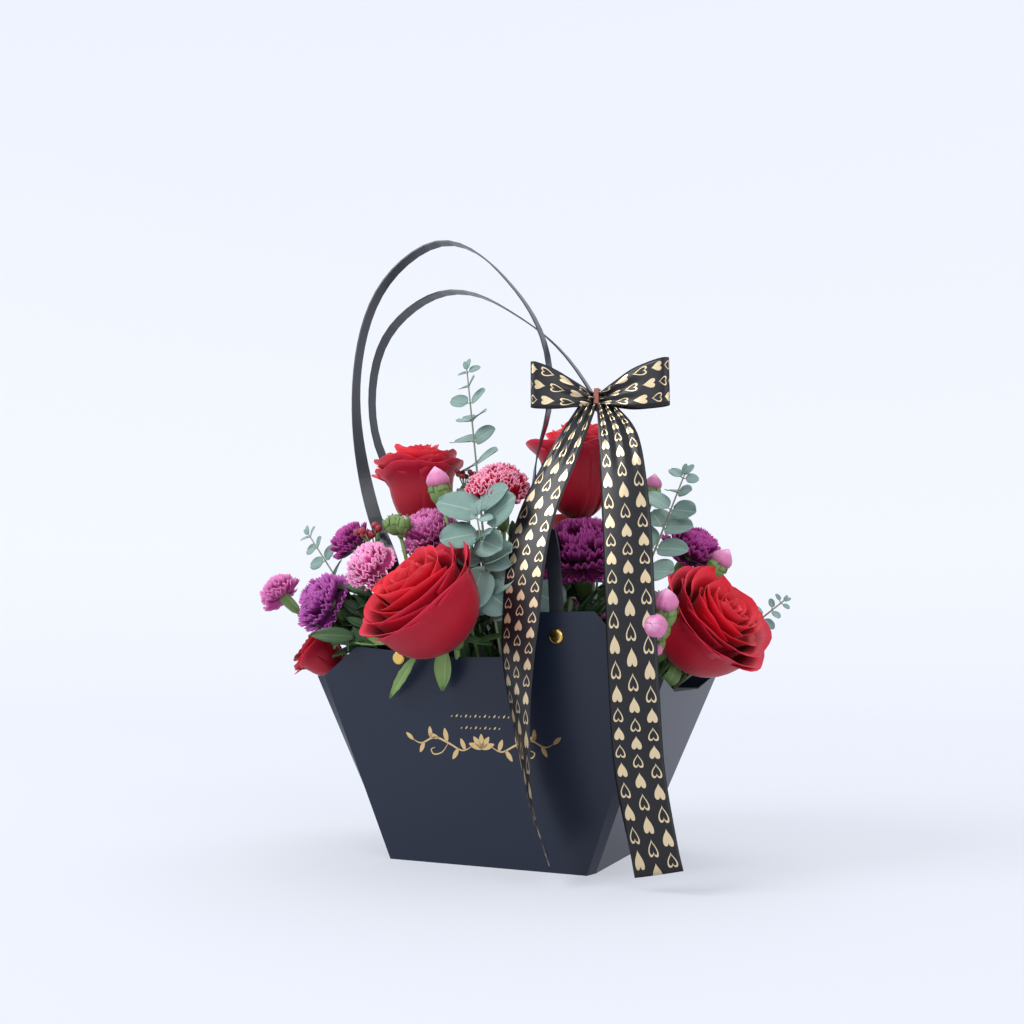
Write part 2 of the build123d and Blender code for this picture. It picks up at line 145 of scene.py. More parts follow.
# %% Placing and building
def placed(pieces, base, facing, roll=0.0):
    """The same pieces, stood on base so that their own Z looks along facing."""
    z = np.asarray(facing, float) / np.linalg.norm(facing)
    x = np.cross((0.0, 1.0, 0.0) if abs(z[1]) < 0.9 else (0.0, 0.0, -1.0), z)
    x /= np.linalg.norm(x)
    y = np.cross(z, x)
    x, y = x * math.cos(roll) + y * math.sin(roll), y * math.cos(roll) - x * math.sin(roll)
    turn = np.stack([x, y, z])
    return [[points @ turn + np.asarray(base), *rest] for points, *rest in pieces]


def build(name, pieces, materials, body="box", smooth=True):
    """One mesh object from many pieces."""
    start, points, quads, uvs, mats, tones = 0, [], [], [], [], []
    for p, q, uv, mat, tone in pieces:
        points.append(p)
        quads.append(q + start)
        uvs.append(uv)
        mats.append(np.full(len(q), mat))
        tones.append(np.full(len(p), tone))
        start += len(p)
    points, quads, uvs = np.concatenate(points) * MM, np.concatenate(quads), np.concatenate(uvs)
    mesh = bpy.data.meshes.new(name)
    mesh.vertices.add(len(points))
    mesh.vertices.foreach_set("co", points.ravel())
    mesh.loops.add(quads.size)
    mesh.loops.foreach_set("vertex_index", quads.ravel().astype(np.int32))
    mesh.polygons.add(len(quads))
    mesh.polygons.foreach_set("loop_start", np.arange(0, quads.size, 4, dtype=np.int32))
    mesh.polygons.foreach_set("material_index", np.concatenate(mats).astype(np.int32))
    mesh.polygons.foreach_set("use_smooth", np.full(len(quads), smooth))
    mesh.uv_layers.new(name="UVMap").data.foreach_set("uv", uvs[quads.ravel()].ravel())
    mesh.attributes.new("tone", "FLOAT", "POINT").data.foreach_set("value", np.concatenate(tones))
    mesh.update(calc_edges=True)
    mesh.validate()
    for material in materials:
        mesh.materials.append(material)
    thing = bpy.data.objects.new(name, mesh)
    scene.collection.objects.link(thing)
    if body:
        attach(thing, body)
    return thing


print("build ready")

# %% [markdown]
# ## Smooth lines
# Ribbons and vines are given by a few stations. A straight line between them would show corners, so a curve that passes
# through every station joins them, for as many columns as there are: place, width and turn alike.

# %% Smooth line helper
def smooth_line(points, steps=8):
    """A smooth line through the given points, any number of columns."""
    p = np.asarray(points, float)
    p = np.concatenate([[2 * p[0] - p[1]], p, [2 * p[-1] - p[-2]]])
    out = []
    for k in range(1, len(p) - 2):
        for t in np.linspace(0, 1, steps, endpoint=False):
            a, b, c, d = p[k - 1:k + 3]
            out.append(0.5 * (2 * b + (c - a) * t + (2 * a - 5 * b + 4 * c - d) * t * t
                              + (3 * b - a - 3 * c + d) * t ** 3))
    return np.array(out + [p[-2]])


print("smooth line ready")

# %% [markdown]
# ## Finishes: one short way to write nodes
# A material in Blender is a tree of nodes. Each tree could be clicked together or written out line by line. A small
# class is used here instead, so that a formula in a material reads like a formula, and the same class can write both
# a whole material and a shared group.

# %% Node writer
class Nodes:
    """Short ways to add and join shader nodes in one tree."""

    def __init__(self, tree):
        self.tree = tree

    def add(self, kind, inputs=None, **settings):
        node = self.tree.nodes.new(kind)
        for key, value in settings.items():
            setattr(node, key, value)
        for key, value in (inputs or {}).items():
            self.put(node.inputs[key], value)
        return node

    def put(self, socket, value):
        if isinstance(value, bpy.types.NodeSocket):
            self.tree.links.new(value, socket)
        else:
            socket.default_value = value

    def math(self, operation, a, b=0.0):
        return self.add("ShaderNodeMath", {0: a, 1: b}, operation=operation).outputs[0]

    def mix(self, share, a, b):
        return self.add("ShaderNodeMix", {0: share, 6: a, 7: b}, data_type="RGBA").outputs[2]

    def ramp(self, value, start, end):
        """0 at start and below it, 1 at end and above it."""
        return self.add("ShaderNodeMapRange", {0: value, 1: start, 2: end, 3: 0.0, 4: 1.0}).outputs[0]

    def uv(self):
        parts = self.add("ShaderNodeSeparateXYZ", {0: self.add("ShaderNodeUVMap", uv_map="UVMap").outputs[0]})
        return parts.outputs[0], parts.outputs[1]

    def tone(self):
        return self.add("ShaderNodeAttribute", attribute_name="tone").outputs["Fac"]

    def use(self, group, **values):
        """A shared group placed in this tree with its own values."""
        node = self.tree.nodes.new("ShaderNodeGroup")
        node.node_tree = group
        for key, value in values.items():
            self.put(node.inputs[key.replace("_", " ")], value)
        return node.outputs["Color"], node.outputs["Height"]


class Finish(Nodes):
    """The tree of one material, around its Principled shader."""

    def __init__(self, name):
        self.material = bpy.data.materials.new(name)
        self.material.use_nodes = True
        super().__init__(self.material.node_tree)
        self.shader = self.tree.nodes["Principled BSDF"]

    def bump(self, height, strength, distance=0.001):
        node = self.add("ShaderNodeBump", {"Height": height, "Strength": strength, "Distance": distance})
        self.put(self.shader.inputs["Normal"], node.outputs[0])

    def set(self, **values):
        for key, value in values.items():
            self.put(self.shader.inputs[key.replace("_", " ")], value)
        return self


def rgb(r, g, b):
    """A colour given as it looks on a screen, 0 to 255."""
    return tuple(((c / 255 + 0.055) / 1.055) ** 2.4 if c > 10 else c / 255 / 12.92 for c in (r, g, b)) + (1.0,)


print("node writer ready")

# %% [markdown]
# ## Three shared effects
# Petals get painted shade that darkens them into the flower, and pale towards the rim; leaves have a midrib
# and slanting side veins; card, webbing and metal have a fine grain. Many materials need the same effect in other
# colours, so each effect is one node group with named inputs, built once. A group gives a colour and a height, and the
# shader stays in the material.

# %% Shared groups
def shared_group(name, inputs):
    """An empty group with the given inputs and the outputs Color and Height."""
    tree = bpy.data.node_groups.new(name, "ShaderNodeTree")
    for label, kind in inputs.items():
        tree.interface.new_socket(name=label, in_out="INPUT", socket_type=kind)
    tree.interface.new_socket(name="Color", in_out="OUTPUT", socket_type="NodeSocketColor")
    tree.interface.new_socket(name="Height", in_out="OUTPUT", socket_type="NodeSocketFloat")
    return Nodes(tree), tree.nodes.new("NodeGroupInput").outputs, tree.nodes.new("NodeGroupOutput").inputs


COLOUR, VALUE = "NodeSocketColor", "NodeSocketFloat"


def petal_effect():
    n, given, out = shared_group("petal_effect", {"Deep": COLOUR, "Body": COLOUR, "Rim": COLOUR,
                                                  "Rim Start": VALUE, "Veins": VALUE})
    u, v = n.uv()
    tone = n.tone()
    # Painted shade: the petal darkens towards its base, in the flower's throat, where the other petals shade it.
    inner = n.mix(n.ramp(v, 0.0, 0.45), given["Deep"], given["Body"])
    shaded = n.mix(n.ramp(v, given["Rim Start"], 1.0), inner, given["Rim"])
    where = n.add("ShaderNodeCombineXYZ", {0: n.math("MULTIPLY", u, given["Veins"]), 1: n.math("MULTIPLY", v, 3.0),
                                           2: tone})
    vein = n.add("ShaderNodeTexNoise", {"Vector": where.outputs[0], "Scale": 1.0, "Detail": 3.0}).outputs["Fac"]
    shade = n.math("ADD", 0.72, n.math("ADD", n.math("MULTIPLY", tone, 0.38), n.math("MULTIPLY", vein, 0.2)))
    n.put(out["Color"], n.add("ShaderNodeHueSaturation", {"Value": shade, "Color": shaded}).outputs[0])
    n.put(out["Height"], vein)
    return n.tree


def leaf_effect():
    n, given, out = shared_group("leaf_effect", {"Dark": COLOUR, "Light": COLOUR, "Rib": COLOUR})
    u, v = n.uv()
    middle = n.math("ABSOLUTE", n.math("SUBTRACT", u, 0.5))
    is_rib = n.math("LESS_THAN", middle, 0.025)
    where = n.add("ShaderNodeTexCoord").outputs["Object"]
    cloud = n.add("ShaderNodeTexNoise", {"Vector": where, "Scale": 90.0, "Detail": 4.0}).outputs["Fac"]
    blend = n.math("ADD", n.math("MULTIPLY", cloud, 0.5), n.math("MULTIPLY", n.tone(), 0.5))
    blade = n.mix(blend, given["Dark"], given["Light"])
    slant = n.math("ADD", n.math("MULTIPLY", middle, 26.0), n.math("MULTIPLY", v, -34.0))
    ribs = n.math("MULTIPLY", n.math("SINE", n.math("MULTIPLY", slant, 1.6)), 0.5)
    n.put(out["Color"], n.mix(n.math("MULTIPLY", is_rib, 0.35), blade, given["Rib"]))
    n.put(out["Height"], n.math("ADD", ribs, n.math("MULTIPLY", is_rib, 1.5)))
    return n.tree


def grain_effect():
    n, given, out = shared_group("grain_effect", {"Base": COLOUR, "Scale": VALUE})
    where = n.add("ShaderNodeTexCoord").outputs["Object"]
    noise = n.add("ShaderNodeTexNoise", {"Vector": where, "Scale": given["Scale"], "Detail": 3.0}).outputs["Fac"]
    shade = n.math("ADD", 0.88, n.math("MULTIPLY", noise, 0.24))
    n.put(out["Color"], n.add("ShaderNodeHueSaturation", {"Value": shade, "Color": given["Base"]}).outputs[0])
    n.put(out["Height"], noise)
    return n.tree


PETAL, LEAF, GRAIN = petal_effect(), leaf_effect(), grain_effect()
print("3 shared groups")

# %% [markdown]
# ## Materials built on the groups
# A petal is matte with a trace of velvet, a leaf a little glossier, and the card and metals differ only in colour,
# roughness and the size of their grain. So three short functions cover every plain material of the object.

# %% Material helpers
# The first colour is painted shade for the throat of the flower.
def petal_finish(name, throat_shade, body, rim, rim_start=0.75, veins=40.0, rough=0.5):
    n = Finish(name)
    colour, vein = n.use(PETAL, Deep=throat_shade, Body=body, Rim=rim, Rim_Start=rim_start, Veins=veins)
    n.bump(vein, 0.25, 0.0008)
    return n.set(Base_Color=colour, Roughness=rough, Sheen_Weight=0.06, Sheen_Roughness=0.4,
                 Specular_IOR_Level=0.3).material


def leaf_finish(name, dark, light, rib, rough=0.5):
    n = Finish(name)
    colour, ribs = n.use(LEAF, Dark=dark, Light=light, Rib=rib)
    n.bump(ribs, 0.12, 0.0006)
    return n.set(Base_Color=colour, Roughness=rough, Specular_IOR_Level=0.35).material


def plain_finish(name, colour, rough, metal=0.0, grain=0.1, grain_scale=900.0, **more):
    n = Finish(name)
    shaded, noise = n.use(GRAIN, Base=colour, Scale=grain_scale)
    n.bump(noise, grain, 0.0004)
    return n.set(Base_Color=shaded, Roughness=rough, Metallic=metal, **more).material


print("material helpers ready")

# %% [markdown]
# ## Printed ribbon
# The real ribbon is black satin with gold print in three columns, bold and outlined in turn. The print could be an
# image, but an image needs a file. Here plain hearts are worked out from the UVs: each cell of the ribbon measures its
# distance from a heart's curve, and every second heart keeps only its outline.

# %% Ribbon finish: hearts in three columns
def ribbon_finish(name):
    n = Finish(name)
    u, v = n.uv()
    column = n.math("FLOOR", n.math("MULTIPLY", u, 3.0))
    x = n.math("SUBTRACT", n.math("FRACT", n.math("MULTIPLY", u, 3.0)), 0.5)
    stagger = n.math("ADD", n.math("MULTIPLY", v, 3.0), n.math("MULTIPLY", column, 0.5))
    row = n.math("FLOOR", stagger)
    y = n.math("SUBTRACT", n.math("FRACT", stagger), 0.5)
    lobes = n.math("MULTIPLY", n.math("SQRT", n.math("ABSOLUTE", x)), 0.55)
    down = n.math("SUBTRACT", y, n.math("SUBTRACT", lobes, 0.12))
    reach = n.math("SQRT", n.math("ADD", n.math("MULTIPLY", x, x), n.math("MULTIPLY", down, down)))
    solid = n.math("LESS_THAN", reach, 0.30)
    hollow = n.math("LESS_THAN", reach, 0.22)
    odd = n.math("FLOORED_MODULO", n.math("ADD", row, column), 2.0)
    gold = n.math("SUBTRACT", solid, n.math("MULTIPLY", hollow, odd))
    weave = n.add("ShaderNodeTexWave", {"Vector": n.add("ShaderNodeUVMap", uv_map="UVMap").outputs[0],
                                        "Scale": 60.0}, wave_type="BANDS", bands_direction="Y").outputs["Fac"]
    n.bump(n.math("ADD", n.math("MULTIPLY", weave, 0.3), gold), 0.12, 0.0003)
    rough = n.math("ADD", 0.34, n.math("MULTIPLY", gold, -0.04))
    return n.set(Base_Color=n.mix(gold, rgb(9, 10, 15), rgb(206, 186, 150)), Roughness=rough,
                 Metallic=n.math("MULTIPLY", gold, 0.6), Specular_IOR_Level=0.4).material


print("ribbon finish ready")

# %% [markdown]
# ## The colours
# Colours are given as they look on a screen. Petals get three: painted shade for the throat, the body and the rim.

# %% All finishes
card = plain_finish("card_satin", rgb(20, 28, 46), 0.38, grain=0.06, grain_scale=1400.0, Specular_IOR_Level=0.38)
brass = plain_finish("brass_polished", rgb(222, 184, 104), 0.16, metal=1.0, grain=0.03, grain_scale=260.0)
strap = plain_finish("strap_satin", rgb(26, 30, 37), 0.34, grain=0.06, grain_scale=2500.0, Specular_IOR_Level=0.6)
film = plain_finish("film_clear", rgb(225, 232, 236), 0.15, grain=0.2, grain_scale=60.0, Alpha=0.35)
wet_foam = plain_finish("foam_wet", rgb(52, 92, 58), 0.8, grain=0.6, grain_scale=700.0)
rose_gold = plain_finish("rose_gold_foil", rgb(156, 100, 88), 0.3, metal=1.0, grain=0.08, grain_scale=900.0)
gold_foil = plain_finish("gold_foil", rgb(214, 184, 130), 0.3, metal=0.9, grain=0.08, grain_scale=1200.0)
ribbon = ribbon_finish("ribbon_hearts")
rose_red = petal_finish("rose_red", rgb(64, 0, 6), rgb(176, 4, 24), rgb(206, 14, 38), 0.8, 26.0, 0.46)
rose_outer = petal_finish("rose_outer", rgb(96, 8, 26), rgb(160, 8, 34), rgb(198, 26, 54), 0.8, 26.0, 0.5)
dark_rose = petal_finish("rose_dark", rgb(34, 2, 6), rgb(92, 6, 14), rgb(136, 18, 26), 0.8, 26.0, 0.5)
purple = petal_finish("carnation_purple", rgb(42, 2, 36), rgb(116, 16, 90), rgb(178, 66, 148), 0.8, 20.0, 0.6)
violet = petal_finish("carnation_violet", rgb(56, 6, 54), rgb(126, 30, 116), rgb(186, 94, 172), 0.8, 20.0, 0.6)
magenta = petal_finish("carnation_magenta", rgb(110, 20, 80), rgb(182, 60, 140), rgb(218, 128, 184), 0.8, 20.0, 0.6)
pink = petal_finish("carnation_pink", rgb(160, 36, 96), rgb(212, 84, 152), rgb(242, 172, 210), 0.84, 20.0, 0.6)
red_white = petal_finish("carnation_red_white", rgb(110, 4, 26), rgb(178, 8, 44), rgb(236, 160, 186), 0.92, 20.0, 0.6)
bud_pink = petal_finish("bud_pink", rgb(150, 90, 110), rgb(190, 112, 152), rgb(226, 170, 204), 0.7, 14.0, 0.5)
berry = plain_finish("berry_red", rgb(140, 26, 44), 0.35, grain=0.1, grain_scale=500.0)
stem_green = plain_finish("stem_green", rgb(106, 136, 74), 0.5, grain=0.2, grain_scale=600.0)
calyx_green = leaf_finish("calyx_green", rgb(70, 100, 50), rgb(128, 156, 90), rgb(176, 196, 136))
dark_leaf = leaf_finish("leaf_dark", rgb(28, 52, 30), rgb(62, 92, 50), rgb(120, 140, 84), 0.42)
grey_leaf = leaf_finish("leaf_grey", rgb(84, 112, 104), rgb(142, 168, 158), rgb(172, 190, 172), 0.55)
twig = plain_finish("twig", rgb(122, 132, 108), 0.6, grain=0.2, grain_scale=700.0)
print(len(bpy.data.materials), "finishes")

# %% [markdown]
# ## Box, rivets and straps
# The real box is satin card with brass rivets and flat webbing straps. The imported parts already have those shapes, so
# they stay, and get finishes and smooth shading only.

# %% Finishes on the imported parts
looks = {"panel": card, "gusset": card, "base_board": card, "rivet": brass, "washers": brass, "strap_ends": strap,
         "handle_": strap, "film_liner": film, "floral_foam": wet_foam, "bow_band": rose_gold}
dressed = 0
for name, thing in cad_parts.items():
    for word, material in looks.items():
        if word in name:
            thing.data.materials.clear()
            thing.data.materials.append(material)
            dressed += 1
            if word in ("rivet", "handle_", "washers"):
                thing.data.shade_smooth()
                thing.data.set_sharp_from_angle(angle=math.radians(40))
print(dressed, "packed parts dressed")

# %% [markdown]
# ## Strap folds
# A real strap is one piece that bends softly just above the ear. In the model it is cut there so that it can swing. A
# short piece of strap bridges each cut, so that no gap shows.

# %% Strap folds
FRONT = 59.0  # from the middle to the card's outer face, at the table
LEAN = 13.0 / 121.6
EAR_TOP = 162.8
STRAP_X, STRAP_HALF = 57.0, 4.76
for side, word in ((-1, "front"), (1, "back")):
    for hand, x in (("left", -STRAP_X), ("right", STRAP_X)):
        rows = []
        for z in np.linspace(EAR_TOP - 1.6, EAR_TOP + 3.0, 5):
            y = side * (FRONT + LEAN * z - 1.25 - 0.5)
            rows.append([(x - STRAP_HALF, y, z), (x + STRAP_HALF, y, z)])
        fold = build(f"{word}_{hand}_fold", [shell(np.array(rows), 1.06)], [strap], body=None, smooth=False)
        y = side * (FRONT + LEAN * EAR_TOP - 1.75) * MM
        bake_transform(fold)
print("4 strap folds")

# %% [markdown]
# ## Gold ornament
# The front card carries gold foil print. A print could be a texture, but thin foil in relief catches the light as real
# foil does. The pattern is a plain vine with a bud in its middle, laid on the leaning card by one formula.

# %% Foil ornament
def on_front(x, z, off=0.06):
    """A point on the front card, a little in front of it."""
    y = FRONT + LEAN * z
    return (x, -y - off, z + off * LEAN)


def foil_stroke(points, width):
    """A thin foil line along points given as across and up."""
    line = smooth_line(points, 6)
    run = np.gradient(line, axis=0)
    run /= np.linalg.norm(run, axis=1, keepdims=True)
    taper = np.sin(np.linspace(0.25, math.pi - 0.25, len(line)))[:, None] * width / 2
    side = np.stack([-run[:, 1], run[:, 0]], -1) * taper
    rows = [[on_front(*(p - s)), on_front(*(p + s))] for p, s in zip(line, side)]
    return shell(np.array(rows), 0.08)


def foil_leaf(x, z, length, angle):
    """A small foil leaf that grows from a point at an angle."""
    way = np.array([math.cos(angle), math.sin(angle)])
    side = np.array([-way[1], way[0]])
    rows = []
    for t in np.linspace(0.0, 1.0, 7):
        half = math.sin(math.pi * min(1.0, 0.06 + t * 0.9)) ** 0.8 * length * 0.2
        middle = np.array([x, z]) + way * length * t
        rows.append([on_front(*(middle - side * half)), on_front(*(middle + side * half))])
    return shell(np.array(rows), 0.08)


strokes = []
for hand in (-1, 1):
    middle = 1.5
    vine = [(middle + hand * 6, 77.5), (middle + hand * 14, 74.0), (middle + hand * 24, 78.5),
            (middle + hand * 34, 82.0), (middle + hand * 44, 78.0), (middle + hand * 51, 80.5)]
    strokes.append(foil_stroke(vine, 1.3))
    curl = [(middle + hand * 24, 78.5), (middle + hand * 29, 72.5), (middle + hand * 35, 71.0),
            (middle + hand * 37, 74.0), (middle + hand * 34, 75.5)]
    strokes.append(foil_stroke(curl, 0.9))
    for x, z, length, angle in ((12, 74.3, 8, 1.2), (17, 75.0, 8, -1.0), (25, 79.2, 9, 1.4), (31, 81.5, 8, 0.3),
                                (37, 81.5, 7.5, 1.5), (42, 78.6, 7.5, -1.1), (50, 80.0, 7, 0.7)):
        strokes.append(foil_leaf(middle + hand * x, z, length, angle if hand > 0 else math.pi - angle))
for angle in (0.35, 0.95, math.pi / 2, math.pi - 0.95, math.pi - 0.35):
    strokes.append(foil_leaf(1.5, 75.5, 9.5, angle))
ornament = build("foil_ornament", strokes, [gold_foil], body=None, smooth=False)
print(len(strokes), "foil strokes")

# %% [markdown]
# ## Dotted rows
# Above the vine run two rows of small slanted dashes, short and long in turn. Dashes that repeat at one pitch suit
# Geometry Nodes: a line of points, one dash put on every point, and made real at the end. The tree is run and turned
# into a plain mesh, because the modifier itself isn't kept.

# %% Dotted rows
PITCH = 3.4
SHORT, LONG = 1.6, 2.4


def dash_rows_tree():
    """Adds one row of equal dashes, given by the first dash, the step between dashes and their count."""
    tree = bpy.data.node_groups.new("dash_row", "GeometryNodeTree")
    for label, kind in (("Geometry", "NodeSocketGeometry"), ("Dash", "NodeSocketObject"), ("Count", "NodeSocketInt"),
                        ("Start", "NodeSocketVector"), ("Step", "NodeSocketVector"),
                        ("Material", "NodeSocketMaterial")):
        tree.interface.new_socket(name=label, in_out="INPUT", socket_type=kind)
    tree.interface.new_socket(name="Geometry", in_out="OUTPUT", socket_type="NodeSocketGeometry")
    given, out = tree.nodes.new("NodeGroupInput").outputs, tree.nodes.new("NodeGroupOutput").inputs
    new, link = tree.nodes.new, tree.links.new
    line, info, place = new("GeometryNodeMeshLine"), new("GeometryNodeObjectInfo"), new("GeometryNodeInstanceOnPoints")
    real, finish = new("GeometryNodeRealizeInstances"), new("GeometryNodeSetMaterial")
    both = new("GeometryNodeJoinGeometry")
    link(given["Count"], line.inputs["Count"])
    link(given["Start"], line.inputs["Start Location"])
    link(given["Step"], line.inputs["Offset"])
    link(given["Dash"], info.inputs["Object"])
    link(line.outputs[0], place.inputs["Points"])
    link(info.outputs["Geometry"], place.inputs["Instance"])
    link(place.outputs[0], both.inputs[0])
    link(given["Geometry"], both.inputs[0])
    link(both.outputs[0], real.inputs[0])
    link(real.outputs[0], finish.inputs["Geometry"])
    link(given["Material"], finish.inputs["Material"])
    link(finish.outputs[0], out["Geometry"])
    return tree


def add_row(thing, tree, dash, count, start, step):
    """Run the tree once on the object and keep the result as its mesh."""
    modifier = thing.modifiers.new("row", "NODES")
    modifier.node_group = tree
    values = {"Dash": dash, "Count": count, "Start": start, "Step": step, "Material": gold_foil}
    for item in tree.interface.items_tree:
        if item.in_out == "INPUT" and item.name in values:
            modifier[item.identifier] = values[item.name]
    seen = thing.evaluated_get(bpy.context.evaluated_depsgraph_get())
    mesh = bpy.data.meshes.new_from_object(seen)
    thing.modifiers.remove(modifier)
    thing.data = mesh


tree = dash_rows_tree()
dashes = {}
for kind, long in (("short", SHORT), ("long", LONG)):
    base = np.array(on_front(0.0, 0.0))
    points, *rest = foil_leaf(0.0, 0.0, long, 0.9)
    dashes[long] = build("dash_" + kind, [[points - base, *rest]], [gold_foil], body=None, smooth=False)
for row_z, count in ((95.5, 13), (88.0, 9)):
    first = 1.5 - (count - 1) / 2 * PITCH - 0.9
    for long, skip in ((SHORT, 0), (LONG, 1)):
        start = np.array(on_front(first + skip * PITCH, row_z)) * MM
        step = (2 * PITCH * MM, 0.0, 0.0)
        add_row(ornament, tree, dashes[long], (count + 1 - skip) // 2, tuple(map(float, start)), step)
for dash in dashes.values():
    bpy.data.objects.remove(dash)
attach(ornament, "box")
print("ornament with", len(ornament.data.polygons), "faces")

# %% [markdown]
# ## Bow and tails
# The two tails hang from the knot and are gathered under its band. Cloth simulation could drop them, but how the real
# tails hang, one turned edge on and one facing out, is known, so they follow stations and get pleats near the knot.

# %% Tails
KNOT = np.array((79.5, -52.0, 301.5))
RIBBON = 30.5
left_tail = [
    (-5.0, -7.5, -3.0, 11.0, 0), (-7.0, -9.0, -7.0, 14.0, 0), (-21.0, -18.0, -40.5, 25.0, -8),
    (-34.0, -28.0, -77.5, RIBBON, -14), (-38.5, -35.0, -109.5, RIBBON, -14), (-40.5, -38.0, -140.5, RIBBON, -17),
    (-42.0, -39.0, -171.5, RIBBON, -28), (-40.0, -39.0, -206.5, RIBBON, -46),
    (-33.5, -39.0, -253.5, RIBBON, -61), (-21.5, -39.0, -288.5, RIBBON, -66),
]
right_tail = [
    (5.0, -7.5, -3.0, 11.0, 0), (8.0, -9.0, -7.0, 14.0, 0), (18.0, -16.0, -30.5, 27.0, 0),
    (26.0, -28.0, -83.5, RIBBON, 6), (30.0, -36.0, -132.5, RIBBON, 8), (33.0, -39.0, -192.5, RIBBON, 6),
    (36.0, -39.0, -237.5, RIBBON, 4), (46.0, -39.0, -290.5, RIBBON, -8),
]


def tail(name, stations, node, slant):
    """A hanging ribbon, gently arched across and pleated near the knot."""
    line = smooth_line(stations, 9)
    centre = line[:, :3]
    length = np.concatenate([[0], np.cumsum(np.linalg.norm(np.diff(centre, axis=0), axis=1))])
    rows = []
    for point, width, turn, run in zip(centre, line[:, 3], line[:, 4], length):
        width = min(width, RIBBON)
        angle = math.radians(turn)
        out = np.array((math.cos(angle), math.sin(angle), 0.0))
        front = np.array((math.sin(angle), -math.cos(angle), 0.0))
        row = []
        for s in np.linspace(-0.5, 0.5, 17):
            arch = 1.3 * (1 - 4 * s * s) * min(1.0, run / 60)
            pleat = 2.2 * math.sin(s * 19) * max(0.0, 1 - run / 62) ** 1.4
            cut = slant * s * max(0.0, run - length[-1] + 14)
            row.append(KNOT + point + out * s * width + front * (arch + pleat) + np.array((0, 0, cut)))
        rows.append(row)
    thing = build(name, [shell(np.array(rows), 0.3, v_scale=length[-1] / RIBBON)], [ribbon], "back_handle")
    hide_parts(node)
    return length[-1]


# %% [markdown]
# The loops leave the knot, fold round and come back, wider at the fold than at the knot. They are the same ribbon, so
# they use the same stations and pleats, with the width standing upright.

# %% Bow
left_loop = [
    (-2.5, -6.2, 0.0, 9.0), (-12.0, -13.5, 3.0, 17.0), (-24.0, -22.0, 6.5, 26.0), (-34.5, -27.0, 8.8, RIBBON),
    (-38.6, -25.5, 9.4, RIBBON), (-37.2, -21.6, 9.4, RIBBON), (-25.0, -15.5, 7.0, 26.0), (-12.0, -8.0, 3.5, 16.0),
    (-3.5, -3.5, 0.5, 9.0),
]
right_loop = [
    (2.5, -6.2, 0.5, 9.0), (13.0, -10.5, 1.5, 16.0), (26.0, -14.5, 3.0, 24.5), (39.0, -16.6, 4.2, 29.0),
    (48.0, -17.0, 5.0, RIBBON), (51.0, -14.0, 5.2, RIBBON), (47.5, -11.0, 5.0, RIBBON), (36.0, -8.6, 4.0, 28.0),
    (24.0, -6.0, 2.6, 23.0), (12.0, -3.8, 1.5, 15.0), (3.5, -2.4, 0.5, 9.0),
]


def loop(name, stations, node):
    """A ribbon loop that leaves the knot, folds round and comes back."""
    line = smooth_line(stations, 7)
    centre = line[:, :3]
    length = np.concatenate([[0], np.cumsum(np.linalg.norm(np.diff(centre, axis=0), axis=1))])
    side = np.gradient(centre, axis=0)
    side = np.stack([-side[:, 1], side[:, 0], np.zeros(len(side))], -1)
    side /= np.linalg.norm(side, axis=1, keepdims=True)
    rows = []
    for point, height, run, way in zip(centre, line[:, 3], length, side):
        height = min(height, RIBBON)
        near = min(run, length[-1] - run)
        row = []
        for s in np.linspace(-0.5, 0.5, 15):
            pleat = (1.5 * math.sin(s * 17) + 1.0 * math.sin(s * 8 + 1)) * max(0.0, 1 - near / 34) ** 1.2
            row.append(KNOT + point + way * pleat + np.array((0, 0, s * height)))
        rows.append(row)
    thing = build(name, [shell(np.array(rows), 0.3, v_scale=length[-1] / RIBBON)], [ribbon], "back_handle")
    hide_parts(node)
    return length[-1]


print("loop helper ready")

# %% [markdown]
# ## Knot
# The knot is ribbon wound tight round itself and looks like a small cushion. A sphere pushed outwards towards its
# corners has that shape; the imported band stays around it.

# %% Knot, loops and tails
def cushion_shape(name, centre, half, material, node, body, power=0.55):
    """A rounded block, closed at its poles."""
    rows = []
    for a in np.linspace(-math.pi / 2 + 0.02, math.pi / 2 - 0.02, 11):
        row = []
        for b in np.arange(16) * 2 * math.pi / 16:
            direction = np.array((math.cos(a) * math.cos(b), math.cos(a) * math.sin(b), math.sin(a)))
            row.append(np.sign(direction) * np.abs(direction) ** power)
        rows.append(row)
    grid = np.array(rows) * np.asarray(half)
    points = (grid + np.asarray(centre)).reshape(-1, 3)
    i = np.arange(len(points)).reshape(11, 16)
    after = np.roll(i, -1, axis=1)
    quads = [np.stack([i[:-1], after[:-1], after[1:], i[1:]], -1).reshape(-1, 4)]
    caps = []
    for k in range(7):
        caps.append([i[0][15 - k], i[0][14 - k], i[0][k + 1], i[0][k]])
        caps.append([i[-1][k], i[-1][k + 1], i[-1][14 - k], i[-1][15 - k]])
    uv = np.stack(np.meshgrid(np.linspace(0, 0.5, 16), np.linspace(0, 0.45, 11)), -1).reshape(-1, 2)
    thing = build(name, [[points, np.concatenate(quads + [np.array(caps)]), uv, 0, 0.5]], [material], body)
    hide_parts(node)
    return thing


cushion_shape("bow_knot_shape", KNOT, (4.6, 6.6, 6.6), ribbon, "bow_knot", "back_handle")
print("loops", loop("bow_loop_left", left_loop, "bow_left_loop"), loop("bow_loop_right", right_loop, "bow_right_loop"))
print("tails", tail("tail_left", left_tail, "ribbon_left_tail", 0.0),
      tail("tail_right", right_tail, "ribbon_right_tail", 0.5))

# %% [markdown]
# ## Flower shapes
# Every kind of flower gets a maker, whose pieces stand on the origin and look along +Z. A rose is a tight spiral of
# petals inside wider and wider cups. Real petals differ, so each gets its own height, lean and wave from a fixed seed;
# flare rolls the rims out for the roses that are wide open.

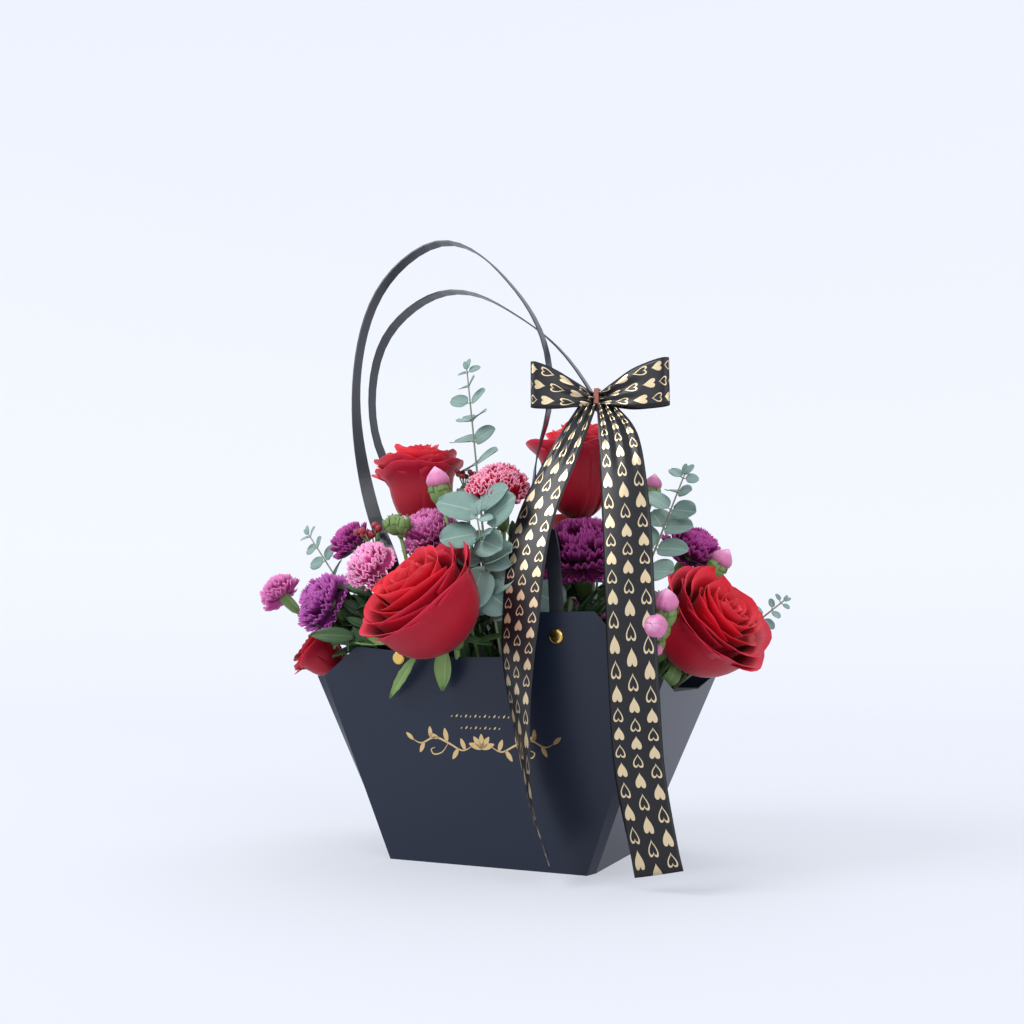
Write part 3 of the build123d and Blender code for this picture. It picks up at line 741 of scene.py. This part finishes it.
# %% Rose
def rose_pieces(radius, tall=1.0, flare=0.0, seed=1, rich=0, edge=0):
    """Petals in rings, from a tight spiral in the middle to a cup of outer petals. Flare rolls the rims out."""
    rng = np.random.default_rng(seed)
    u = np.linspace(-1, 1, 15)[None, :]
    v = np.linspace(0, 1, 12)[:, None]
    # ring: petals, rim radius, half width in degrees, height, lip, lip drop
    rings = [
        (2, 0.06, 140, 1.16, 0.00, 0.00), (3, 0.14, 118, 1.21, 0.02, 0.00), (3, 0.25, 100, 1.24, 0.05, 0.02),
        (4, 0.38, 82, 1.23, 0.08, 0.04), (4, 0.53, 74, 1.19, 0.12, 0.08), (5, 0.69, 64, 1.13, 0.12, 0.09),
        (5, 0.84, 62, 1.04, 0.12, 0.11),
    ]
    pieces = []
    start = rng.uniform(0, 6.28)
    for ring, (count, rim_r, half, height, lip, drop) in enumerate(rings):
        body = rim_r * (1 - 0.36 * flare)
        for k in range(count):
            turn = start + ring * 1.1 + k * 2 * math.pi / count + rng.uniform(-0.15, 0.15)
            wide = math.radians(half) * rng.uniform(0.92, 1.08)
            high = height * tall * rng.uniform(0.94, 1.04)
            reach = body * rng.uniform(0.95, 1.05)
            vv = v * (1 - 0.10 * np.abs(u) ** 2.6)
            width = wide * (0.5 + 0.5 * np.sin(np.pi / 2 * np.minimum(1, v * 2.2)))
            angle = turn + u * width
            s = np.clip((vv - 0.72) / 0.28, 0, 1)
            bowl = np.sin(np.minimum(1, vv * 1.25) * np.pi / 2) ** 0.8
            roll = (lip + 0.34 * flare * (ring / 6) ** 1.5) * rng.uniform(0.6, 1.4)
            spiral = 0.06 * u * (ring < 5) * (0.5 + ring / 6)
            wave = 0.034 * np.sin(u * rng.uniform(3.0, 5.5) + rng.uniform(0, 6)) * s * (ring > 1)
            ragged = 0.03 * flare * np.sin(u * 13 + seed) * s ** 3
            r = reach * bowl + spiral * bowl + roll * s ** 2 * (1 + 0.5 * u ** 2) + wave
            rise = high * (1 - np.cos(vv * np.pi / 2)) ** 0.85
            z = rise - drop * s ** 2.6 * (1 + 0.8 * np.abs(u) ** 2) + wave + ragged
            grid = np.stack([r * np.cos(angle), r * np.sin(angle), z + 0 * angle], -1) * radius
            pieces.append(shell(grid, 0.35, mat=rich if ring < 5 else edge, tone=rng.uniform(0.15, 0.85)))
    return pieces


print("rose maker ready")

# %% [markdown]
# Under a rose hang five narrow green sepals on a small round cup. They are curved strips, folded a little along their
# middle. The front rose shows none, so it gets only the cup.

# %% Sepals
def sepals(radius, seed, mat, droop=0.6, length=0.9, count=5):
    """Narrow green sepals that hang from under the head."""
    rng = np.random.default_rng(seed)
    pieces = []
    for k in range(count):
        turn = k * 2 * math.pi / count + rng.uniform(-0.3, 0.3)
        long = length * radius * rng.uniform(0.8, 1.15)
        rows = []
        for t in np.linspace(0, 1, 9):
            bend = droop * rng.uniform(0.95, 1.05)
            reach = 0.12 * radius + long * t * math.cos(bend * t * 2.2)
            up = 0.04 * radius - long * t * math.sin(bend * t * 1.6) * 0.9
            half = 0.15 * radius * math.sin(math.pi * (0.12 + 0.86 * t)) ** 1.1 * (1 - 0.25 * t)
            out = np.array((math.cos(turn), math.sin(turn), 0))
            side = np.array((-math.sin(turn), math.cos(turn), 0))
            middle = out * reach + np.array((0, 0, up))
            fold = np.array((0, 0, 0.05 * radius * math.sin(math.pi * t)))
            rows.append([middle - side * half + fold, middle - side * half * 0.5, middle,
                         middle + side * half * 0.5, middle + side * half + fold])
        pieces.append(shell(np.array(rows), 0.35, mat=mat, tone=rng.uniform(0.2, 0.9)))
    pieces.append(tube([(0, 0, -0.12 * radius), (0, 0, 0.0), (0, 0, 0.14 * radius)],
                       [0.07 * radius, 0.15 * radius, 0.17 * radius], 10, mat))
    return pieces


print("sepals ready")

# %% [markdown]
# A carnation is a dense tuft of frilled fans over a narrow calyx. Layers of fans rise from nearly flat to nearly
# upright; a wave across each fan makes the frill, and every second point of its rim is pulled in for the toothed edge.

# %% Carnation
def carnation_pieces(radius, seed=1, petals=0, green=1, narrow=1.0, layers=4, per=12):
    """Frilled fan petals in layers that rise from a narrow green calyx."""
    rng = np.random.default_rng(seed)
    u = np.linspace(-1, 1, 19)[None, :]
    v = np.linspace(0, 1, 6)[:, None]
    saw = 1 - 0.08 * (np.arange(19) % 2)[None, :] * v ** 4
    pieces = []
    for layer in range(layers):
        share = layer / (layers - 1)
        rise = math.radians(6 + 74 * share ** 0.8)
        for k in range(int(per * (1 - 0.3 * share))):
            turn = k * 2 * math.pi / int(per * (1 - 0.3 * share)) + layer * 0.4 + rng.uniform(-0.15, 0.15)
            lift = rise + rng.uniform(-0.13, 0.13)
            out = np.array((math.cos(turn) * math.cos(lift), math.sin(turn) * math.cos(lift), math.sin(lift)))
            side = np.array((-math.sin(turn), math.cos(turn), 0.0))
            up = np.cross(out, side) * -1
            long = radius * rng.uniform(0.9, 1.08) * (1 - 0.12 * share)
            half = radius * 0.36 * narrow * rng.uniform(0.85, 1.15)
            run = long * v * saw * (1 - 0.1 * u ** 2)
            frill = radius * 0.085 * narrow ** 1.6 * np.sin(u * rng.uniform(6.5, 10.5) + rng.uniform(0, 6)) * v ** 2.2
            arch = radius * 0.16 * np.sin(v * 2.2) - radius * 0.10 * v ** 3
            grid = (run[..., None] * out + (half * u * v ** 0.75)[..., None] * side
                    + (frill + arch)[..., None] * up)
            pieces.append(shell(grid, 0.28, mat=petals, tone=rng.uniform(0.1, 0.9)))
    pieces = [[p + np.array((0, 0, 1.02 * radius)), *rest] for p, *rest in pieces]
    r = radius
    pieces.append(tube([(0, 0, 0), (0, 0, 0.2 * r), (0, 0, 0.55 * r), (0, 0, 0.95 * r), (0, 0, 1.08 * r)],
                       [0.1 * r, 0.2 * r, 0.24 * r, 0.24 * r, 0.28 * r], 10, green))
    return pieces


print("carnation maker ready")

# %% [markdown]
# A bud is a round calyx with pointed teeth, and a ball of closed petals in its mouth. Seven overlapping petals make
# the ball; a bud that is still green shows only two.

# %% Buds
def bud_pieces(radius, seed=1, petals=0, green=1, closed=False):
    """A green calyx with five teeth and petals showing at its mouth."""
    rng = np.random.default_rng(seed)
    r = radius
    shape = [(0, 0.3), (0.3, 0.62), (0.9, 0.92), (1.5, 0.95), (2.0, 0.8), (2.3, 0.55 if closed else 0.7)]
    pieces = [tube([(0, 0, h * r) for h, _ in shape], [w * r for _, w in shape], 12, green, 0.6)]
    for k in range(5):
        turn = k * 1.2566 + 0.4
        rows = []
        for t in np.linspace(0, 1, 6):
            reach = (0.93 - 0.35 * t ** 2) * r
            half = 0.42 * r * (1 - t) ** 0.7 + 0.02 * r
            out = np.array((math.cos(turn), math.sin(turn), 0)) * reach
            side = np.array((-math.sin(turn), math.cos(turn), 0)) * half
            middle = out + np.array((0, 0, (1.4 + 1.15 * t) * r))
            rows.append([middle - side, middle, middle + side])
        pieces.append(shell(np.array(rows), 0.25, green, rng.uniform(0.3, 0.8)))
    tip = 2 if closed else 7
    for k in range(tip):
        turn = k * 2.4
        u = np.linspace(-1, 1, 7)[None, :]
        v = np.linspace(0, 1, 6)[:, None]
        angle = turn + u * 0.9
        reach = (0.94 * np.sin(0.75 + 2.34 * v) + 0.02 * k * (1 - v)) * (0.7 if closed else 1.0) * r
        z = (1.7 + (1.7 if not closed else 0.8) * v * (1 - 0.1 * u ** 2) + 0.02 * k * v) * r
        pieces.append(shell(np.stack([reach * np.cos(angle), reach * np.sin(angle), z + 0 * angle], -1), 0.25,
                            petals, rng.uniform(0.2, 0.9)))
    return pieces


print("bud maker ready")

# %% [markdown]
# A leaf is a strip that widens and narrows, cupped across and bent along. The same strip makes round eucalyptus leaves
# and pointed green ones; only its outline formula differs.

# %% Leaf
def leaf_piece(base, way, up, length, width, mat=0, tone=0.5, cup=0.12, bend=0.2, tip=1.0, saw=0.0):
    """A flat leaf from a point: way is where it grows, up is its upper face."""
    way = np.asarray(way, float) / np.linalg.norm(way)
    up = np.asarray(up, float) - way * way.dot(up)
    up /= np.linalg.norm(up)
    side = np.cross(up, way)
    rows = []
    for k, t in enumerate(np.linspace(0, 1, 11)):
        half = width / 2 * (math.sin(math.pi * min(1.0, 0.04 + 0.94 * t)) ** 0.9 if tip > 1 else
                            max(0.05, 1 - abs(2 * t ** 0.85 - 1) ** 2.3) ** 0.5)
        half *= 1 + saw * (k % 2)
        middle = np.asarray(base) + way * length * t - up * bend * length * t * t
        rows.append([middle + side * half * s + up * cup * width * s * s for s in (-1, -0.5, 0, 0.5, 1)])
    return shell(np.array(rows), 0.35, mat, tone)


print("leaf maker ready")

# %% [markdown]
# ## Where the flowers stand
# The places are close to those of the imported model: a head's place as shares of the rim and a height above it, the way
# it looks, its radius, and its stem's place in the foam. A table keeps an arrangement easy to change: one line, one
# flower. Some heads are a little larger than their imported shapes, as far as the swinging straps allow.

# %% Flower places
RIM_X, RIM_Y, RIM_Z = 117.0, 72.0, 121.6
STEM_BOTTOM = 74.0
FOAM_TOP = 98.0
FOAM_X = 70.0 + 2.7 + 51.8 * FOAM_TOP / RIM_Z - 2.8
FOAM_Y = FRONT + LEAN * FOAM_TOP - 2.8
SETBACK = {"rose": 0.85, "carnation": 1.25, "bud": 1.4, "buds": 1.6, "berries": 1.3, "sprig": 0.0}


def spots(place, way, size, foot, kind):
    """Base of the head, the way it looks, and the bottom of its stem."""
    facing = np.asarray(way, float) / np.linalg.norm(way)
    head = np.array((place[0] * RIM_X, place[1] * RIM_Y, place[2] + RIM_Z))
    return head - facing * size * SETBACK[kind], facing, np.array((foot[0] * FOAM_X, foot[1] * FOAM_Y, STEM_BOTTOM))


def stem(foot, base, radius, mat):
    line = [foot + (base - foot) * t for t in np.linspace(0, 1, 9)]
    return tube(line, radius, 8, mat)


print("places ready")

# %% [markdown]
# Seven roses are the largest heads, eleven carnations fill between them, and buds and berries stand a little higher.

# %% Table of flowers
roses = [
    # name, place, way it looks, radius, foot, tallness, flare, seed, petals
    ("rose_front_left", (-0.215, -1.40, 49), (-0.32, -0.6, 0.66), 43.5, (-0.20, -0.60), 1.15, 0.05, 11, rose_red),
    ("rose_back_left", (-0.66, -0.12, 135), (-0.1, -0.06, 1), 35.5, (-0.43, -0.12), 1.45, 0.6, 5, rose_red),
    ("rose_centre", (0.38, 0.0, 137), (0.03, -0.1, 1), 33, (0.18, -0.03), 1.65, 0.35, 23, rose_red),
    ("rose_right", (1.22, -0.34, 34), (0.78, -0.28, 0.6), 41.5, (0.56, -0.30), 1.15, 0.3, 8, rose_red),
    ("rose_rim_left", (-1.19, -0.61, 15), (-0.7, -0.3, 0.6), 22, (-0.72, -0.45), 1.2, 0.7, 31, dark_rose),
    ("rose_back", (-0.22, 1.00, 70), (-0.2, 0.65, 0.75), 28, (-0.14, 0.54), 1.0, 0.2, 14, rose_red),
    ("rose_back_right", (0.22, 0.78, 100), (0.2, 0.5, 0.85), 28, (0.14, 0.33), 1.1, 0.4, 17, rose_red),
]
carnations = [
    ("carnation_far_left", (-1.62, -0.36, 61), (-0.7, -0.2, 0.7), 17, (-0.54, -0.12), magenta, 1.0),
    ("carnation_left", (-1.01, -1.00, 50), (-0.45, -0.7, 0.5), 23, (-0.56, -0.63), violet, 0.7),
    ("carnation_pink", (-0.64, -1.17, 74), (-0.3, -0.75, 0.6), 18, (-0.39, -0.66), pink, 1.0),
    ("carnation_dark_left", (-1.04, -0.44, 97), (-0.5, -0.3, 0.8), 18, (-0.61, -0.24), purple, 0.7),
    ("carnation_mid", (-0.37, -0.78, 98), (-0.1, -0.6, 0.8), 21, (-0.27, -0.39), magenta, 0.8),
    ("carnation_variegated", (0.075, -0.82, 124), (0.05, -0.45, 0.9), 23, (-0.04, -0.42), red_white, 1.0),
    ("carnation_centre", (0.48, -0.39, 82), (0.1, -0.6, 0.75), 31, (0.23, -0.39), purple, 0.6),
    ("carnation_right", (1.06, 0.14, 84), (0.6, -0.2, 0.75), 22, (0.52, 0.15), purple, 0.7),
    ("carnation_back_left", (-0.89, 0.42, 58), (-0.5, 0.4, 0.75), 22, (-0.50, 0.33), purple, 0.8),
    ("carnation_back_middle", (0.15, 1.19, 50), (0, 0.8, 0.6), 21, (0.05, 0.66), magenta, 1.0),
    ("carnation_back_right", (1.04, 0.67, 44), (0.6, 0.5, 0.6), 22, (0.57, 0.51), violet, 0.7),
]
buds = [
    ("bud_pink_left", "bud", (-0.26, -0.94, 125), (-0.1, -0.3, 1), 8, (0.02, -0.62)),
    ("buds_green", "buds", (-0.51, -1.06, 106), (-0.1, -0.4, 0.9), 9, (-0.34, -0.51)),
    ("buds_pink_right", "buds", (1.07, -1.04, 36), (0.1, -0.7, 0.5), 9, (0.59, -0.63)),
    ("bud_top_right", "bud", (0.87, -0.14, 124), (0.2, -0.1, 1), 6, (0.39, -0.12)),
    ("bud_low_right", "bud", (1.24, -0.17, 71), (0.6, 0, 0.8), 7, (0.63, 0.09)),
]
berries = [
    ("berries_left", (-0.72, -0.96, 95), (-0.2, -0.5, 0.8), 8, (-0.47, -0.27)),
    ("berries_centre", (-0.35, -0.11, 142), (0, 0, 1), 6, (-0.20, 0.06)),
]
print(len(roses) + len(carnations) + len(buds) + len(berries), "flowers in the table")

# %% [markdown]
# Each head is made at its size, turned to the way it looks, and joined to its stem, which runs down into the foam. The
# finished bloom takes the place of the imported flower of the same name.

# %% Roses and carnations
for name, place, way, size, foot, tall, flare, seed, petals in roses:
    base, facing, bottom = spots(place, way, size, foot, "rose")
    head = rose_pieces(size * 1.02, tall, flare, seed, 0, 1)
    head += sepals(size, seed, 2, 0.9, count=0 if "front" in name else 5)
    pieces = placed(head, base, facing, seed * 0.7) + [stem(bottom, base, 2.0, 3)]
    bloom = build(name + "_bloom", pieces, [petals, rose_outer, calyx_green, stem_green])
    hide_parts(name)

for seed, (name, place, way, size, foot, petals, narrow) in enumerate(carnations):
    base, facing, bottom = spots(place, way, size, foot, "carnation")
    dense = 1.45 if narrow < 0.9 else 1.0
    head = carnation_pieces(size * 1.05, seed + 3, 0, 1, narrow, 5, int(13 * dense))
    pieces = placed(head, base, facing, seed * 1.3) + [stem(bottom, base, 1.8, 1)]
    bloom = build(name + "_bloom", pieces, [petals, calyx_green])
    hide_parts(name)
print(len(roses), "roses,", len(carnations), "carnations")

# %% [markdown]
# Buds stand alone or three on one stem. Berries are small balls on threads that spread from the end of their stem.

# %% Buds and berries
for seed, (name, kind, place, way, size, foot) in enumerate(buds):
    base, facing, bottom = spots(place, way, size, foot, kind)
    pieces = [stem(bottom, base, 1.3, 1)]
    closed = name == "buds_green"
    if kind == "bud":
        pieces += placed(bud_pieces(size, seed, 0, 1), base, facing, seed)
    else:
        spread = np.cross(facing, (0, 0, 1)) if closed else np.array((0.25, 0.1, 1.0))
        spread /= np.linalg.norm(spread)
        for k, sway in enumerate((-0.55, 0.0, 0.55) if closed else (-1.5, -0.45, 0.75)):
            aim = facing + spread * sway
            aim /= np.linalg.norm(aim)
            pieces.append(tube([base, base + aim * size * 0.6], 1.2, 8, 1))
            show = closed or k > 0
            pieces += placed(bud_pieces(size * (0.62 if closed else 0.86 if show else 0.5), seed + k, 0, 1, closed),
                             base + aim * size * 0.45, aim, k * 2.0)
    thing = build(name + "_bloom", pieces, [bud_pink, calyx_green])
    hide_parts(name)

for seed, (name, place, way, size, foot) in enumerate(berries):
    base, facing, bottom = spots(place, way, size, foot, "berries")
    rng = np.random.default_rng(seed + 40)
    pieces = [stem(bottom, base, 1.3, 1)]
    for k in range(9):
        around = k * 2.4
        aim = facing + 0.75 * np.array((math.cos(around), math.sin(around), 0.15)) * rng.uniform(0.4, 1.0)
        end = base + aim / np.linalg.norm(aim) * size * rng.uniform(1.2, 2.2)
        way_out = (end - base) / np.linalg.norm(end - base)
        r = size * 0.34
        pieces.append(tube([base, end], 0.5, 6, 1))
        arc = np.linspace(-1.35, 1.35, 6)
        pieces.append(tube([end + way_out * r * (1 + math.sin(a)) for a in arc], [r * math.cos(a) for a in arc], 8, 0))
    thing = build(name + "_bloom", pieces, [berry, stem_green])
    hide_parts(name)
print(len(buds) + len(berries), "bud and berry stems")

# %% [markdown]
# ## Eucalyptus and filler leaves
# Round blue-green leaves stand in pairs along each twig, every pair turned against the last, smaller towards the tip.
# Each leaf gets its own tilt and size from a fixed seed, because equal leaves look made.

# %% Eucalyptus
sprigs = [
    # name, tip place, foot place, size of the leaves, pairs, spacing, seed
    ("eucalyptus_tall", (-0.29, -0.28, 222), (-0.09, -0.09), 19.0, 7, 12.5, 3),
    ("eucalyptus_left", (-1.52, -0.10, 108), (-0.60, 0.06), 17.0, 5, 13.0, 4),
    ("eucalyptus_front", (0.06, -1.22, 104), (0.16, -0.69), 25.0, 5, 15.0, 9),
    ("eucalyptus_right", (1.10, -0.36, 132), (0.47, -0.42), 21.0, 7, 12.0, 6),
    ("eucalyptus_far_right", (1.57, 0.19, 50), (0.50, 0.24), 11.0, 5, 8.5, 7),
    ("eucalyptus_back", (-0.42, 0.90, 150), (-0.32, 0.33), 14.0, 7, 13.0, 8),
]
for name, place, foot, size, pairs, gap, seed in sprigs:
    rng = np.random.default_rng(seed)
    tip, _, bottom = spots(place, (0, 0, 1), 0, foot, "sprig")
    run = (bottom - tip) / np.linalg.norm(bottom - tip)
    pieces = [tube([tip + (bottom - tip) * t for t in np.linspace(0, 1, 12)], np.linspace(0.5, 1.3, 12), 8, 1)]
    first = np.cross(run, (0.2, 0.95, 0.0))
    first /= np.linalg.norm(first)
    second = np.cross(run, first)
    pieces.append(leaf_piece(tip, -run + first * 0.4, second, size * 0.4, size * 0.22, tone=0.9))
    pieces.append(leaf_piece(tip, -run - first * 0.4, second, size * 0.35, size * 0.2, tone=0.8))
    for k in range(pairs):
        point = tip + run * (3 + gap * k * (0.8 + 0.06 * k))
        grow = min(1.0, 0.42 + 0.16 * k)
        out = first if k % 2 == 0 else (second * 0.45 + first * 0.9)
        for hand in (-1, 1):
            way = out * hand - run * rng.uniform(0.1, 0.5) + second * rng.uniform(-0.3, 0.3)
            up = -run * rng.uniform(0.2, 1.0) + np.array((0.3, -0.9, 0.1)) * rng.uniform(0.5, 1.2)
            long = size * grow * rng.uniform(0.9, 1.2)
            pieces.append(tube([point, point + way * 2.5], 0.4, 6, 1))
            pieces.append(leaf_piece(point + way * 2.0, way, up, long, long * rng.uniform(0.72, 0.9), 0,
                                     rng.uniform(0.1, 0.95), 0.08, rng.uniform(0.0, 0.3), 0.85))
    thing = build(name + "_leaves", pieces, [grey_leaf, twig])
    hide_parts(name)
print(len(sprigs), "sprigs")

# %% [markdown]
# The broad leaves of the front sprig show best, so they are placed one by one where its stem stands.

# %% Broad leaves
extra = [
    # base, direction, length, width, upper side
    ((6, -80, 228), (-0.75, -0.25, 0.25), 30, 24, (0.1, -0.8, 0.6)),
    ((6, -80, 232), (0.8, -0.2, 0.45), 24, 20, (-0.2, -0.8, 0.5)),
    ((4, -82, 214), (-0.5, -0.4, -0.1), 24, 22, (0.0, -0.9, 0.4)),
    ((6, -82, 210), (0.6, -0.35, -0.2), 24, 21, (0.0, -0.9, 0.3)),
    ((8, -82, 190), (-0.15, -0.35, -0.9), 27, 25, (0.1, -0.9, 0.1)),
    ((50, -44, 168), (-0.5, -0.5, 0.3), 24, 26, (0.2, -0.9, 0.3)),
    ((12, -82, 222), (0.7, -0.2, 0.5), 26, 22, (-0.2, -0.9, 0.2)),
    ((10, -80, 200), (0.9, -0.2, -0.1), 24, 22, (-0.1, -0.9, 0.3)),
    ((8, -80, 178), (0.8, -0.2, -0.5), 25, 24, (0.0, -0.9, 0.2)),
]
pieces = []
for base, way, length, width, up in extra:
    pieces.append(leaf_piece(base, way, up, length, width, 0, 0.35, 0.08, 0.1, 0.85))
build("eucalyptus_front_broad_leaves", pieces, [grey_leaf])
print(len(extra), "broad leaves")

# %% [markdown]
# Two rose sepals and a few thin leaves hang over the front edge of the card or lie along it.

# %% Front edge leaves
pieces = [
    leaf_piece((-16, -84, 142), (-0.18, 0.17, -0.97), (-0.1, -0.9, 0.2), 30, 14, 0, 0.9, 0.2, 0.08, 1.1, 0.0),
    leaf_piece((-37, -84, 136), (-0.67, 0.13, -0.73), (-0.1, -0.9, 0.2), 39, 8, 0, 0.6, 0.15, 0.1, 1.1, 0.12),
    leaf_piece((-64, -74, 143), (-0.98, -0.05, 0.12), (0, -0.7, 0.7), 36, 8, 0, 0.95, 0.12, 0.05, 1.1),
    leaf_piece((-92, -58, 150), (0.6, -0.35, 0.15), (0, -0.4, 0.9), 28, 12, 0, 0.8, 0.12, 0.1, 1.1),
    leaf_piece((-104, -56, 160), (-0.2, -0.6, -0.5), (-0.3, -0.6, 0.6), 26, 10, 0, 0.9, 0.12, 0.2, 1.1),
    leaf_piece((-96, -52, 150), (0.9, -0.3, 0.1), (0, -0.6, 0.8), 28, 11, 0, 0.7, 0.12, 0.1, 1.1),
    leaf_piece((-157, -20, 154), (0.2, -0.5, -0.6), (-0.5, -0.7, 0.3), 24, 12, 0, 0.9, 0.12, 0.1, 1.1),
    leaf_piece((10, -70, 142), (-0.8, -0.35, 0.3), (0, -0.7, 0.7), 26, 6, 1, 0.6, 0.12, 0.2, 1.1),
    leaf_piece((-2, -70, 144), (0.8, -0.3, 0.25), (0, -0.7, 0.7), 26, 6, 1, 0.8, 0.12, 0.2, 1.1),
]
build("front_edge_leaves", pieces, [calyx_green, dark_leaf])
print(len(pieces), "leaves at the front edge")

# %% [markdown]
# ## Filler foliage
# A florist hides foam and stems with dark leaves. They are scattered with a fixed seed inside the rim, denser low down,
# and kept out of the card and of the straps' way. A second handful leans out under the flowers at the left.

# %% Filler leaves
rng = np.random.default_rng(12)
pieces = []
while len(pieces) < 640:
    base = np.array((rng.uniform(-98, 104), rng.uniform(-52, 54), 112 + 106 * rng.random() ** 1.5))
    reach = math.hypot(base[0] / 112, base[1] / 66)
    if reach > 0.95 or base[2] > (228 if base[0] < 15 else 206) - 52 * reach:
        continue
    out = np.array((base[0] / 100, base[1] / 60, rng.uniform(0.1, 1.3))) + rng.normal(0, 0.35, 3)
    out /= np.linalg.norm(out)
    long = rng.uniform(16, 34)
    tip = base + out * long
    if tip[2] < 152 and (abs(tip[1]) > 66 or abs(tip[0]) > 108):
        continue
    if max(base[2], tip[2]) > 158 and abs(tip[1]) > 60 and 46 < abs(tip[0]) < 72:
        continue
    pieces.append(leaf_piece(base, out, rng.normal(0, 0.4, 3) + (0, -0.4, 0.8), long, long * rng.uniform(0.25, 0.5), 0,
                             rng.uniform(0.0, 1.0), 0.12, rng.uniform(0.0, 0.5), 1.1, 0.05))
while len(pieces) < 720:
    base = np.array((-84, -56, 150)) + rng.normal(0, 1, 3) * (12, 6, 12)
    out = np.array((-0.7, -0.5, 0.5)) + rng.normal(0, 0.45, 3)
    out /= np.linalg.norm(out)
    long = rng.uniform(14, 30)
    tip = base + out * long
    if min(base[2], tip[2]) < 130 or tip[0] > -72 or base[0] > -72:
        continue
    pieces.append(leaf_piece(base, out, rng.normal(0, 0.4, 3) + (0, -0.6, 0.6), long, long * rng.uniform(0.25, 0.5), 0,
                             rng.uniform(0.2, 1.0), 0.12, rng.uniform(0.0, 0.5), 1.1, 0.05))
build("filler_leaves", pieces, [dark_leaf])
print("fillers", len(pieces))

# %% [markdown]
# ## Stage and light
# The object stands on a plain pale floor that curves up into a wall all round, so that no edge shows from any side.
# One large soft light from the front left shapes the flowers, and two weaker ones open the shadows.

# %% Stage
profile = [(2, -0.05), (300, -0.04), (700, -0.03), (1200, -0.02), (1800, -0.01)]
profile += [(1800 + 900 * math.sin(a), 900 - 900 * math.cos(a)) for a in np.linspace(0.15, math.pi / 2, 10)]
profile += [(2700, 2600), (2700, 4200)]


def sweep_finish(name):
    """Matte pale paint that glows a little more further out, so floor and wall read as one tone."""
    n = Finish(name)
    where = n.add("ShaderNodeTexCoord").outputs["Object"]
    far = n.add("ShaderNodeVectorMath", {0: where}, operation="LENGTH").outputs["Value"]
    glow = n.add("ShaderNodeMapRange", {0: far, 1: 0.4, 2: 2.6, 3: 0.47, 4: 0.69}).outputs[0]
    return n.set(Base_Color=rgb(144, 147, 153), Roughness=1.0, Emission_Color=rgb(240, 243, 252),
                 Emission_Strength=glow, Specular_IOR_Level=0.1).material


sweep_white = sweep_finish("sweep_white")
bowl = tube([(0, 0, z) for _, z in profile], [r for r, _ in profile], 96)
bowl[1] = bowl[1][:-94, ::-1]
sweep = build("sweep", [bowl], [sweep_white], body=None)


print("sweep ready")

# %% [markdown]
# Area lights give soft edged shadows. The world adds even light, faintly blue as in a white studio.

# %% Light
def area_light(name, place, aim, size, power, colour=(1, 1, 1)):
    light = bpy.data.objects.new(name, bpy.data.lights.new(name, "AREA"))
    light.data.size = size
    light.data.energy = power
    light.data.color = colour
    light.location = place
    light.rotation_mode = "QUATERNION"
    light.rotation_quaternion = (Vector(aim) - Vector(place)).to_track_quat("-Z", "Y")
    scene.collection.objects.link(light)
    return light


area_light("key", (-1.1, -1.3, 1.5), (0, 0, 0.2), 1.0, 30)
area_light("fill", (1.3, -1.0, 0.9), (0, 0, 0.2), 1.4, 10)
area_light("top", (0.1, 0.5, 1.9), (0, 0, 0.2), 1.5, 16)
world = bpy.data.worlds.new("studio")
scene.world = world
world.use_nodes = True
world.node_tree.nodes["Background"].inputs[0].default_value = (0.93, 0.95, 1.0, 1)
world.node_tree.nodes["Background"].inputs[1].default_value = 0.62
scene.view_settings.view_transform = "Standard"
print("light ready")
